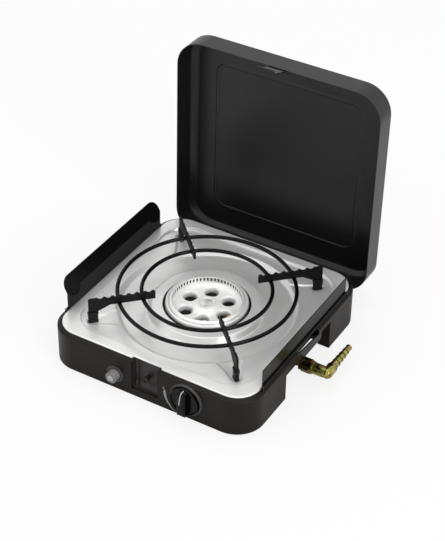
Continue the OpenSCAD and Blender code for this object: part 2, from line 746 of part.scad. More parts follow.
module air_shutter() color("#b9b9b7") along_tube() difference() {
    translate([0, 0, tube_mouth - 7]) cylinder(h = jet_at - tube_mouth + 7, r = mouth_r + 1.1);
    translate([0, 0, tube_mouth - 8]) cylinder(h = jet_at - tube_mouth + 7, r = mouth_r + running);
    cylinder(h = jet_at + 1, r = jet_nose_r + snug);
    for (a = [0, 90]) rotate(a)
        block([-2 * mouth_r, -4, tube_mouth - 1], [2 * mouth_r, 4, tube_mouth + 4]);
}
jet_nose_r = 3;
jet_stem_r = 2.5;
jet_hex_l = 5;
boss_r = 6;

module gas_jet() color("#b8923e") along_tube() difference() {
    union() {
        translate([0, 0, tube_mouth - 2]) cylinder(h = jet_at - tube_mouth + 2.5, r = jet_nose_r);
        translate([0, 0, jet_at]) cylinder(h = jet_hex_l, d = 10 / cos(30), $fn = 6);
        translate([0, 0, jet_at + jet_hex_l - 1]) cylinder(h = 7, r = jet_stem_r);
    }
    translate([0, 0, tube_mouth]) cylinder(h = 30, r = 1.2);
    translate([0, 0, tube_mouth - 3]) cylinder(h = 4, r = 0.4);
}

// ---------- gas valve and knob ----------

module gas_valve() color("#b08d45") difference() {
    union() {
        block([knob_x - valve_w / 2, valve_front, knob_z - valve_h / 2],
              [knob_x + valve_w / 2, valve_back, knob_z + valve_h / 2]);
        along_tube() translate([0, 0, jet_at + jet_hex_l]) cylinder(h = 16, r = boss_r);
        xcyl(valve_mid, inlet_z, knob_x + valve_w / 2 - 1, knob_x + valve_w / 2 + 5, port_r);
    }
    ycyl(knob_x, knob_z, valve_front - 1, valve_front + 21, spindle_r + running);
    along_tube() cylinder(h = jet_at + jet_hex_l + 8, r = jet_stem_r + snug);
    xcyl(valve_mid, inlet_z, knob_x + valve_w / 2 - 4, knob_x + valve_w / 2 + 6, pipe_r + snug);
    for (s = [-1, 1]) ycyl(knob_x + s * valve_screw, knob_z + valve_screw,
                           valve_front - 1, valve_front + 7, 1.3 + snug);
}

module valve_bracket() color("#7d7d7b") difference() {
    union() {
        block([knob_x - valve_foot / 2, valve_front - plate_t, floor_z],
              [knob_x + valve_foot / 2, valve_front, knob_z + valve_w / 2 + 3]);
        block([knob_x - valve_foot / 2, valve_front - plate_t, floor_z],
              [knob_x + valve_foot / 2, valve_mid + 6, floor_z + plate_t]);
    }
    ycyl(knob_x, knob_z, valve_front - 3, valve_front + 1, spindle_r + 2);
    for (s = [-1, 1]) ycyl(knob_x + s * valve_screw, knob_z + valve_screw,
                           valve_front - 3, valve_front + 1, 1.3 + snug);
    for (p = pan_screws) translate([p[0], p[1], floor_z - 1])
        cylinder(h = plate_t + 2, r = screw_r + snug);
}

module valve_collar() color("#b9b9b7") difference() {
    ycyl(knob_x, knob_z, collar_y, collar_y + collar_l, collar_od);
    ycyl(knob_x, knob_z, collar_y - 1, collar_y + collar_l + 1, spindle_r + running);
}

module valve_spindle() color("#b08d45") {
    ycyl(knob_x, knob_z, knob_front - grip_h + 3, valve_front + 16, spindle_r);
    for (y = [collar_y - 1.1, collar_y + collar_l + running])
        ycyl(knob_x, knob_z, y, y + 1.1 - running, spindle_r + 1.2);
}

// Disc with a raised rim and a rounded bar grip; the spindle's bore is blind
module control_knob() color("#141414") difference() {
    face = knob_r - knob_rim_w;
    union() {
        translate([knob_x, knob_front, knob_z]) rotate([-90, 0, 0]) rotate_extrude()
            polygon([[0, knob_sink], [face - 0.3, knob_sink], [face + 0.2, 0.4],
                     [face + 0.7, 0], [knob_r - 0.7, 0], [knob_r, 0.7], [knob_r, disc_t],
                     [0, disc_t]]);
        intersection() {
            ycyl(knob_x, knob_z, knob_front - grip_h, knob_front + knob_sink + e, face + 0.9);
            translate([knob_x, knob_front - grip_h, knob_z - knob_r])
                linear_extrude(2 * knob_r) grip_section();
            translate([knob_x - knob_r, knob_front - grip_h, knob_z]) rotate([90, 0, 90])
                linear_extrude(2 * knob_r) grip_side();
        }
    }
    ycyl(knob_x, knob_z, knob_front - grip_h + 3, knob_front + disc_t + 1, spindle_r + snug);
}

// Cross-section of the bar grip, rounded at the front
module grip_section() {
    r = 2.4;
    translate([-grip_w / 2, r]) square([grip_w, grip_h + knob_sink]);
    translate([r - grip_w / 2, 0]) square([grip_w - 2 * r, r + 1]);
    for (s = [-1, 1]) translate([s * (grip_w / 2 - r), r]) circle(r);
}

// Side view of the bar grip, with rounded ends
module grip_side() {
    r = 5;
    a = knob_r - knob_rim_w + 0.9;
    translate([r, -a]) square([grip_h + knob_sink, 2 * a]);
    translate([0, r - a]) square([r + 1, 2 * (a - r)]);
    for (s = [-1, 1]) translate([r, s * (a - r)]) circle(r);
}

// Lip pressed up round the knob
module knob_bezel() color("#9a9a9a") translate([knob_x, front_y, knob_z]) rotate([90, 0, 0])
    rotate_extrude() polygon([
        [knob_r + 0.6, 0], [knob_r + 0.6, lip_h - 0.6], [knob_r + 0.9, lip_h],
        [knob_r + 1.5, lip_h], [knob_r + 2.3, lip_h - 0.8], [knob_r + 3, 0]]);

// ---------- gas inlet ----------

plate_w = 2;                               // thickness of the inlet bracket
pipe_end = inlet_face - plate_w - 2;
stub_r = 5;

module gas_pipe() color("#b87b4a") wire([
    [knob_x + valve_w / 2 - 1, valve_mid, inlet_z], [pipe_x, valve_mid, inlet_z],
    [pipe_x, inlet_y, inlet_z], [pipe_end, inlet_y, inlet_z]], pipe_r, 8);
pipe_x = pan_side + 6;

module inlet_bracket() color("#2b2a29") difference() {
    y0 = -recess_front - 18;
    y1 = recess_rear + 8;
    top = crease_z - 3.2;
    low = inlet_z + 6.4;
    r = 4;
    union() {
        xslab(inlet_face - plate_w, inlet_face) {
            polygon([[y0, cut_z + 2], [y0, top], [2 - recess_front, top],
                     [10 - recess_front, recess_z - 0.5], [y1 - 7, cut_z - 0.5], [y1 - 7, top],
                     [y1, top], [y1, low + r], [y1 - r, low], [inlet_y + 5, low],
                     [inlet_y - 10.5, inlet_z + 2.8], [inlet_y - 21, inlet_z + 12]]);
            translate([y1 - r, low + r]) circle(r);
            translate([inlet_y, inlet_z]) circle(nut_af / 2);
        }
        // pads on the inside of the wall
        block([inlet_face - e, y0, cut_z + 2], [inner_x, -recess_front - 4, top]);
        block([inlet_face - e, y1 - 7, recess_z + 0.7], [inner_x, y1, top]);
    }
    xcyl(inlet_y, inlet_z, inlet_face - 5, inlet_face + 1, stub_r + snug);
}

// Bulkhead fitting, hexagon outside the bracket
module inlet_nut() color("#b8a04e") difference() {
    union() {
        xhex(inlet_y, inlet_z, inlet_face, inlet_face + nut_l, nut_af);
        xcyl(inlet_y, inlet_z, inlet_face - plate_w - 6, inlet_face + 1, stub_r);
    }
    xcyl(inlet_y, inlet_z, inlet_face - 9, inlet_face - plate_w, pipe_r + snug);
    xcyl(inlet_y, inlet_z, inlet_face - 9, inlet_face + nut_l + 1, bore_r);
}

module inlet_elbow() color("#b8a04e") difference() {
    union() {
        xcyl(inlet_y, inlet_z, inlet_face + nut_l, inlet_face + nut_l + 2, elbow_r + 0.6);
        xcyl(inlet_y, inlet_z, inlet_face + nut_l, tail_x - 5, elbow_r - 0.5);
        xcyl(inlet_y, inlet_z, tail_x - elbow_r, tail_x, elbow_r - 1);
        translate([tail_x, inlet_y, inlet_z]) sphere(elbow_r - 0.8);
        ycyl(tail_x, inlet_z, inlet_y, inlet_y + elbow_r, elbow_r - 1);
    }
    xcyl(inlet_y, inlet_z, inlet_face + nut_l - 1, tail_x, bore_r);
    ycyl(tail_x, inlet_z, inlet_y, inlet_y + elbow_r + 1, bore_r);
}

// Barbed tail for the gas hose
barbs = 5;
module hose_tail() color("#b8a04e") translate([tail_x, inlet_y, inlet_z]) rotate([-90, 0, 0]) {
    start = elbow_r + 7.5;
    pitch = (tail_l - start - 3) / barbs;
    ribs = [for (i = [0:barbs - 1], k = [0, 1])
            [tail_r - 0.35 * i - (k == 0 ? 0 : 1.5), start + pitch * (i + k)]];
    rotate_extrude() polygon(concat(
        [[bore_r, elbow_r], [elbow_r - 1, elbow_r], [elbow_r - 1, start - 2],
         [tail_r - 1.8, start - 2], [tail_r - 1.8, start]],
        ribs, [[tail_r - 1.9, tail_l - 2.6], [tail_r - 2.1, tail_l - 1.2],
               [tail_r - 3, tail_l], [bore_r, tail_l]]));
}

// ---------- ignition and flame safety ----------

module piezo_igniter() color("#26272a") translate([-button_x, front_y, button_z])
    rotate([-90, 0, 0]) rotate_extrude() polygon([
        [button_r + running, 0], [sleeve_r, 0], [sleeve_r, sleeve_l], [8, sleeve_l + 2],
        [8, sleeve_l + 22], [3, sleeve_l + 24], [3, sleeve_l + 28], [0, sleeve_l + 28],
        [0, button_l + button_push + 1], [button_r + running, button_l + button_push + 1]]);

module igniter_bezel() color("#8f8f8f") translate([-button_x, front_y, button_z])
    rotate([90, 0, 0]) rotate_extrude() polygon([
        [button_r + bezel_gap, 0], [button_r + bezel_gap, bezel_h], [sleeve_r + 1, bezel_h],
        [sleeve_r + 1.8, bezel_h - 0.8], [sleeve_r + 1.8, 0]]);

// Button with a dished face
module igniter_button() color("#9c9c9c") translate([-button_x, front_y, button_z])
    rotate([-90, 0, 0]) rotate_extrude() polygon([
        [0, 1.1 - button_out], [button_r - 3.4, 0.9 - button_out],
        [button_r - 2.2, 0.3 - button_out], [button_r - 1.5, -button_out],
        [button_r - 0.7, 0.1 - button_out], [button_r, 0.8 - button_out],
        [button_r, button_l], [0, button_l]]);

module igniter_nut() color("#8d8d8d") difference() {
    translate([-button_x, front_y + wall, button_z]) rotate([-90, 0, 0])
        cylinder(h = 5, d = (2 * sleeve_r + 6) / cos(30), $fn = 6);
    ycyl(-button_x, button_z, front_y + wall - 1, front_y + wall + 6, sleeve_r + snug);
}

module ignition_lead() color("#5c5c5c") {
    tip = around(probe_s, electrode_a, lead_z);
    lead([[-button_x, front_y + sleeve_l + 28, button_z], [-button_x, lead_y, button_z],
          [-button_x, lead_y, lead_z], [tip[0], lead_y, lead_z], tip,
          around(probe_s, electrode_a, insulator_z[0])], lead_r);
}
lead_y = front_y + sleeve_l + 42;
lead_z = floor_z + 2.5;

// Thin lead along a list of points, with a clip bead at each corner
module lead(p, r) {
    for (i = [0:len(p) - 2]) rod(p[i], p[i + 1], r);
    for (i = [1:len(p) - 2]) translate(p[i]) sphere(r * 1.3, $fn = 32);
}

module electrode_insulator() color("#e2ded4") difference() {
    translate(around(probe_s, electrode_a, 0)) rotate_extrude() polygon([
        [0, insulator_z[0]], [insulator_r, insulator_z[0]],
        [insulator_r, plate_z + plate_t], [insulator_r + 1.5, plate_z + plate_t],
        [insulator_r + 1.5, plate_z + plate_t + 3], [insulator_r, plate_z + plate_t + 3],
        [insulator_r, insulator_z[1] - 2], [2, insulator_z[1]], [0, insulator_z[1]]]);
    translate(around(probe_s, electrode_a, insulator_z[1] - 12)) cylinder(h = 13, r = 1 + snug);
}

module spark_electrode() color("#a8794a") translate(around(probe_s, electrode_a, 0))
    rotate(electrode_a)
        wire([[0, 0, insulator_z[1] - 12], [0, 0, dish_z + 4.5], [5.5, 0, dish_z + 4.5]], 1, 2);

module thermocouple() color("#a8794a") translate(around(probe_s, thermo_a, 0)) {
    translate([0, 0, thermo_z]) cylinder(h = dish_z + 4 - thermo_z, r = thermo_r);
    translate([0, 0, plate_z + plate_t]) cylinder(h = 5, d = 7 / cos(30), $fn = 6);
}

module thermocouple_lead() color("#a8794a") lead([
    around(probe_s, thermo_a, thermo_z), around(probe_s, thermo_a, thermo_z - 5),
    [around(probe_s, thermo_a, 0)[0], valve_back - 5, thermo_z - 5],
    [knob_x, valve_back - 5, thermo_z - 5],
    [knob_x, valve_back - 5, knob_z - valve_h / 2]], 1.2);
thermo_z = plate_z - 3;                    // lower end of the thermocouple

// ---------- grate ----------

module grate_ring(r) translate([0, grate_y, wire_z]) rotate_extrude($fn = 96)
    translate([r, 0]) circle(wire_r, $fn = 24);

module grate_outer_ring() color("#1d1c1b") grate_ring(ring_outer_r);

module grate_inner_ring() color("#1d1c1b") grate_ring(ring_inner_r);

// Stamped arm with notches for the wires, teeth on top and a leg for the rubber foot
arm_top = wire_z + 11;
arm_under = wire_z - 1.5;
arm_start = 71.3;
arm_bend = 133;
leg_l = 11.8;
cap_l = 14.4;
cap_w = 7.6;
cap_h = 16.7;
scoop_r = 4.6;

module grate_arm(a) translate([0, grate_y, 0]) rotate(a) yslab(-arm_t / 2, arm_t / 2)
    difference() {
        union() {
            polygon([[arm_start, arm_under], [arm_bend, arm_under],
                     [foot_s - leg_l / 2 - 1, seat_z + cap_h + 0.6],
                     [foot_s - leg_l / 2, seat_z + cap_h],
                     [foot_s - leg_l / 2, seat_z + 2], [foot_s + leg_l / 2, seat_z + 2],
                     [foot_s + leg_l / 2, arm_top - 2], [foot_s + leg_l / 2 - 2, arm_top],
                     [arm_start + 2, arm_top], [arm_start, arm_top - 2]]);
        }
        for (r = [ring_inner_r, ring_outer_r]) translate([r, wire_z]) {
            circle(wire_r + snug);
            translate([-wire_r - snug, -wire_r]) square([2 * (wire_r + snug), wire_r]);
        }
        for (i = [0:floor((foot_s - arm_start) / tooth_pitch) - 1])
            translate([arm_start + tooth_pitch * (i + 0.75), arm_top + scoop_r - 2.5])
                circle(scoop_r);
    }

module grate_arm_front_left() color("#1d1c1b") grate_arm(225);

module grate_arm_front_right() color("#1d1c1b") grate_arm(315);

module grate_arm_back_left() color("#1d1c1b") grate_arm(135);

module grate_arm_back_right() color("#1d1c1b") grate_arm(45);

module foot_cap(a) translate([0, grate_y, 0]) rotate(a) translate([foot_s, 0, seat_z])
    difference() {
        linear_extrude(cap_h) rrect(cap_l, cap_w, 1.5);
        translate([0, 0, 2]) linear_extrude(cap_h)
            square([leg_l + 2 * snug, arm_t + 2 * snug], center = true);
    }

module foot_cap_front_left() color("#2a2a2b") foot_cap(225);

module foot_cap_front_right() color("#2a2a2b") foot_cap(315);

module foot_cap_back_left() color("#2a2a2b") foot_cap(135);

module foot_cap_back_right() color("#2a2a2b") foot_cap(45);

// ---------- lid and hinges ----------

module lid_shell() color("#1c1b1b") opened() difference() {
    r = corner_r;
    crease = rim_z + skirt_h;
    union() {
        sweep(body_w, body_d, r) polygon([
            [r - lid_t, rim_z], [r, rim_z], [r, crease], [r - 1.2, crease + 2.4],
            [r - 4.6, lid_z - 3.2], [r - 7.4, lid_z - 0.9], [r - bevel_w, lid_z],
            [r - bevel_w - 1, lid_z], [r - bevel_w - 1, lid_z - lid_t],
            [r - bevel_w, lid_z - lid_t], [r - 7.9, lid_z - 1.8],
            [r - 5.3, lid_z - 4], [r - lid_t - 1.1, crease + 2.6], [r - lid_t, crease]]);
        translate([0, 0, lid_z - lid_t]) linear_extrude(lid_t) difference() {
            rrect(body_w - 2 * bevel_w - 1, body_d - 2 * bevel_w - 1, r - bevel_w - 0.5);
            bead_square(0.5);
        }
        translate([0, (bead_rear - bead_front) / 2, 0])
            sweep(2 * (lid_panel + bead_w / 2), bead_front + bead_rear + bead_w, bead_r)
                polygon([[bead_r, lid_z - lid_t], [bead_r, lid_z],
                         [bead_r - 1.6, lid_z - bead_h], [bead_r - bead_w + 1.6, lid_z - bead_h],
                         [bead_r - bead_w, lid_z], [bead_r - bead_w, lid_z - lid_t],
                         [bead_r - bead_w + 1.6, lid_z - bead_h - lid_t],
                         [bead_r - 1.6, lid_z - bead_h - lid_t]]);
        translate([0, 0, lid_z - lid_t]) linear_extrude(lid_t) bead_square(bead_w - 0.5);
    }
    for (s = [-1, 1], z = rivet_z)
        ycyl(s * hinge_x, z, rear_y - 4, rear_y + 2, rivet_r + snug);
}
bead_r = 20;                               // plan radius of the bead's outer edge

// Area inside the lid's pressed bead, drawn in by an inset
module bead_square(inset) translate([0, (bead_rear - bead_front) / 2])
    rrect(2 * lid_panel + bead_w - 2 * inset, bead_front + bead_rear + bead_w - 2 * inset,
          bead_r - inset);

// Strap on the lid's rear wall that runs down to a rolled eye on the hinge pin
module lid_arm(s) opened() difference() {
    y = rear_y - lid_t - strap_t / 2;
    xslab(s * hinge_x - arm_w / 2, s * hinge_x + arm_w / 2) difference() {
        union() {
            translate([y - strap_t / 2, rim_z + 4]) square([strap_t, 26]);
            band([y, rim_z + 4 + strap_t / 2], [hinge_y + 5.5, hinge_z + 6.5], strap_t);
            band([hinge_y + 5.5, hinge_z + 6.5], [hinge_y + 2.5, hinge_z + 2.4], strap_t);
            translate([hinge_y, hinge_z]) circle(eye_r);
        }
        translate([hinge_y, hinge_z]) circle(hinge_pin_r + running);
    }
    for (z = rivet_z) ycyl(s * hinge_x, z, rear_y - 4, rear_y + 2, rivet_r + snug);
}

module lid_arm_left() color("#232222") lid_arm(-1);

module lid_arm_right() color("#232222") lid_arm(1);

module lid_rivets() color("#2b2a2a") opened() for (s = [-1, 1], z = rivet_z) {
    y0 = rear_y - lid_t - strap_t;
    ycyl(s * hinge_x, z, y0 - 0.8, rear_y + 0.8, rivet_r);
    ycyl(s * hinge_x, z, y0 - 0.8, y0, 2.8);
    ycyl(s * hinge_x, z, rear_y, rear_y + 0.8, 2.8);
}

// Two ears on flanges behind the shell's rear wall, joined by a web
module hinge_bracket(s) difference() {
    x = s * hinge_x;
    in = arm_w / 2 + ear_gap;
    back = rear_y - wall;
    z0 = hinge_z - ear_drop;
    z1 = hinge_z + ear_drop;
    union() {
        for (k = [-1, 1]) {
            block([x + (k > 0 ? in : -in - ear_t), hinge_y - eye_r - 2.5, z0],
                  [x + (k > 0 ? in + ear_t : -in), back, z1]);
            block([x + (k > 0 ? in : -bracket_w), back - ear_t, z0],
                  [x + (k > 0 ? bracket_w : -in), back, z1]);
        }
        block([x - in - ear_t, hinge_y - eye_r - 2.5, z0],
              [x + in + ear_t, hinge_y - eye_r - 1, z1]);
    }
    xcyl(hinge_y, hinge_z, x - bracket_w, x + bracket_w, hinge_pin_r + snug);
}

module hinge_bracket_left() color("#3a3938") hinge_bracket(-1);

module hinge_bracket_right() color("#3a3938") hinge_bracket(1);

module hinge_pins() color("#8d8d8d") for (s = [-1, 1]) {
    half = arm_w / 2 + ear_gap + ear_t;
    xcyl(hinge_y, hinge_z, s * hinge_x - half - 1, s * hinge_x + half + 1, hinge_pin_r);
    for (k = [-1, 1]) xcyl(hinge_y, hinge_z, s * hinge_x + k * (half + 0.5) - 0.5,
                           s * hinge_x + k * (half + 0.5) + 0.5, hinge_pin_r + 1.2);
}

// ---------- latch ----------

module lid_latch() color("#232222") opened() swung() difference() {
    end = latch_z - latch_drop;
    xslab(-latch_w / 2, latch_w / 2) difference() {
        union() {
            translate([latch_y, latch_z]) circle(latch_eye_r);
            translate([latch_y - latch_t / 2, end]) square([latch_t, latch_drop]);
            band([latch_y, end], [latch_y - 4, end - 2.5], latch_t);
        }
        translate([latch_y, latch_z]) circle(latch_pin_r + running);
    }
    block([-hook_r - window_gap, latch_y - 3, hook_z - hook_r - window_gap],
          [hook_r + window_gap, latch_y + 3, hook_z + hook_r + window_gap]);
}

module latch_pin() color("#8d8d8d") opened()
    xcyl(latch_y, latch_z, -latch_w / 2 - ear_gap - ear_t - 1, latch_w / 2 + ear_gap + ear_t + 1,
         latch_pin_r);

module latch_bracket() color("#232222") opened() difference() {
    y0 = front_y + lid_t;
    x0 = latch_w / 2 + ear_gap;
    union() {
        block([-x0 - ear_t - 3, y0, latch_z + latch_eye_r + 0.6],
              [x0 + ear_t + 3, y0 + 1.2, latch_z + 15]);
        for (s = [-1, 1])
            side_block(s, x0, x0 + ear_t, y0, latch_y + 3, latch_z - 3, latch_z + 15);
    }
    xcyl(latch_y, latch_z, -x0 - 4, x0 + 4, latch_pin_r + snug);
}

// Riveted stud with a hollow head that the latch window drops over
module catch_hook() color("#8d8d8d") {
    back = front_y + pocket_depth;
    front = latch_y - 1.9 - back;              // head's face, from the pocket's rear wall
    translate([0, back, hook_z]) rotate([-90, 0, 0]) rotate_extrude() polygon([
        [0, front + 1.8], [2.2, front + 1.6], [2.6, front], [hook_r - 0.6, front],
        [hook_r, front + 0.6], [hook_r, front + 2.4], [3.3, front + 3.4], [3.3, 0],
        [2, 0], [2, wall], [3.5, wall], [3.5, wall + 1.2], [0, wall + 1.2]]);
}

// ---------- windshields ----------

// Leaf and tilted flap with a rolled knuckle along the lower edge
module windshield(s) mirror([s < 0 ? 1 : 0, 0, 0]) {
    y = wing_len / 2;
    yslab(-y, y) difference() {
        union() {
            translate([wing_x, wing_z]) circle(knuckle_r);
            translate([wing_x - knuckle_r, wing_z]) square([wing_t, leaf_top - wing_z]);
        }
        translate([wing_x, wing_z]) circle(wing_pin_r + running);
    }
    translate([wing_x - knuckle_r + wing_t, 0, leaf_top]) rotate([0, flap_tilt, 0])
        rotate([0, -90, 0]) linear_extrude(wing_t) translate([0, -y]) {
            translate([-0.3, 0]) square([flap_l - flap_r + 0.3, wing_len]);
            translate([0, flap_r]) square([flap_l, wing_len - 2 * flap_r]);
            for (v = [flap_r, wing_len - flap_r]) translate([flap_l - flap_r, v]) circle(flap_r);
        }
}

module windshield_left() color("#2a2a2a") windshield(-1);

module windshield_right() color("#2a2a2a") windshield(1);

module windshield_pins() color("#8d8d8d") for (s = [-1, 1])
    ycyl(s * wing_x, wing_z, -wing_len / 2 - lug_gap - lug_t, wing_len / 2 + lug_gap + lug_t,
         wing_pin_r);

// Small lugs that stand on the shoulder and carry the windshields' pins
module windshield_lugs() color("#1c1b1b") for (s = [-1, 1], k = [-1, 1])
    mirror([s < 0 ? 1 : 0, 0, 0]) mirror([0, k < 0 ? 1 : 0, 0]) {
        y = wing_len / 2 + lug_gap;
        x0 = side_x - shoulder_w;
        x1 = wing_x + 1.8;
        yslab(y, y + lug_t) difference() {
            union() {
                polygon([[x0, ledge_z], [x1, shoulder_z(x1)], [x1, wing_z], [x0, wing_z]]);
                translate([(x0 + x1) / 2, wing_z]) circle((x1 - x0) / 2);
            }
            translate([wing_x, wing_z]) circle(wing_pin_r + snug);
        }
    }

// ---------- node switch ----------

base_shell();
bottom_pan();
rubber_feet();
bottom_screws();
inner_screws();
drip_tray();
burner_bowl();
burner_ring();
burner_dish();
burner_hub();
burner_bracket();
mixing_tube();
air_shutter();
gas_jet();
gas_valve();
valve_bracket();
valve_collar();
valve_spindle();
control_knob();
knob_bezel();
gas_pipe();
inlet_bracket();
inlet_nut();
inlet_elbow();
hose_tail();
piezo_igniter();
igniter_bezel();
igniter_button();
igniter_nut();
ignition_lead();
electrode_insulator();
spark_electrode();
thermocouple();
thermocouple_lead();
grate_outer_ring();
grate_inner_ring();
grate_arm_front_left();
grate_arm_front_right();
grate_arm_back_left();
grate_arm_back_right();
foot_cap_front_left();
foot_cap_front_right();
foot_cap_back_left();
foot_cap_back_right();
lid_shell();
lid_arm_left();
lid_arm_right();
lid_rivets();
hinge_bracket_left();
hinge_bracket_right();
hinge_pins();
lid_latch();
latch_pin();
latch_bracket();
catch_hook();
windshield_left();
windshield_right();
windshield_pins();
windshield_lugs();
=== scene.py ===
"""Single-burner camping gas stove: finishes, fine pieces, studio and camera."""

import logging
import math
from dataclasses import dataclass
from enum import Enum

import bmesh
import bpy
import numpy as np
from mathutils import Matrix, Vector
from mathutils.geometry import delaunay_2d_cdt, tessellate_polygon


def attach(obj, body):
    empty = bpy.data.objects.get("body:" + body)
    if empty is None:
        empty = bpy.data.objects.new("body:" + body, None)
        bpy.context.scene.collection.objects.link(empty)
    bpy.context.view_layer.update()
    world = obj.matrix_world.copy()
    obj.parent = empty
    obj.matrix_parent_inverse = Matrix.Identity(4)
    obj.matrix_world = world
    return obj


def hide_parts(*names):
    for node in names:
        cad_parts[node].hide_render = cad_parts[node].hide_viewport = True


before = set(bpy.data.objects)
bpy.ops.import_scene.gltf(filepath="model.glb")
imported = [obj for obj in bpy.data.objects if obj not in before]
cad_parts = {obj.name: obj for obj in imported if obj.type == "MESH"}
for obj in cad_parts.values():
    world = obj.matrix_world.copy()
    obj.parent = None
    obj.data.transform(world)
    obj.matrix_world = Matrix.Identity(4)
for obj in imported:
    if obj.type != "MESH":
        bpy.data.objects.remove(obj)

LOG = logging.getLogger("stove")
MM = 0.001
Point = tuple[float, float, float]
Line = list[tuple[float, float]]

# Places that several pieces share, in millimetres: the middle of the bowl, burner and
# grate, the outer face of the front wall, and the floor of the tray's foot channels.
BOWL_Y = -2.0
FRONT_Y = -158.5
SEAT_Z = 54.5

# Spans of the noises and of the pointiness over which a finish changes.
CLOUD_SPAN = (0.34, 0.66)
GLOSS_SPAN = (0.7, 1.3)
# Span of pointiness over which sharp edges are paled as a painted highlight.
EDGE_HIGHLIGHT_SPAN = (0.52, 0.6)

# Angles in degrees: up to the first, faces count as one flat; from the second, the edge
# between two faces is broken.
FLAT_ANGLE = 0.5
EDGE_ANGLE = 38.0


# ---------- colour and nodes ----------

def linear(code: str) -> tuple[float, float, float, float]:
    """Turns an sRGB hex value into the linear colour that the shader takes.

    Args:
        code: Six hex digits after a hash sign.

    Returns:
        Red, green, blue and an alpha of 1.
    """
    parts = [int(code[i:i + 2], 16) / 255 for i in (1, 3, 5)]
    return (*(c / 12.92 if c <= 0.04045 else ((c + 0.055) / 1.055) ** 2.4 for c in parts), 1.0)


def add(tree: bpy.types.NodeTree, kind: str, inputs: dict | None = None,
        **settings: object) -> bpy.types.Node:
    """Adds a shader node with its settings, values and links.

    Args:
        tree: Node tree that the node goes into.
        kind: Blender's name for the node.
        inputs: Socket name or number to a value, or to an output socket that feeds it.
        **settings: Properties of the node itself.

    Returns:
        The new node.
    """
    node = tree.nodes.new(kind)
    for key, value in settings.items():
        setattr(node, key, value)
    for key, value in (inputs or {}).items():
        if isinstance(value, bpy.types.NodeSocket):
            tree.links.new(value, node.inputs[key])
        else:
            node.inputs[key].default_value = value
    return node


# ---------- finishes ----------

class Grain(Enum):
    """Way that the marks of a surface run: how dense they are along X, Y and Z."""

    EVEN = (1.0, 1.0, 1.0)
    ALONG_X = (0.02, 1.0, 1.0)


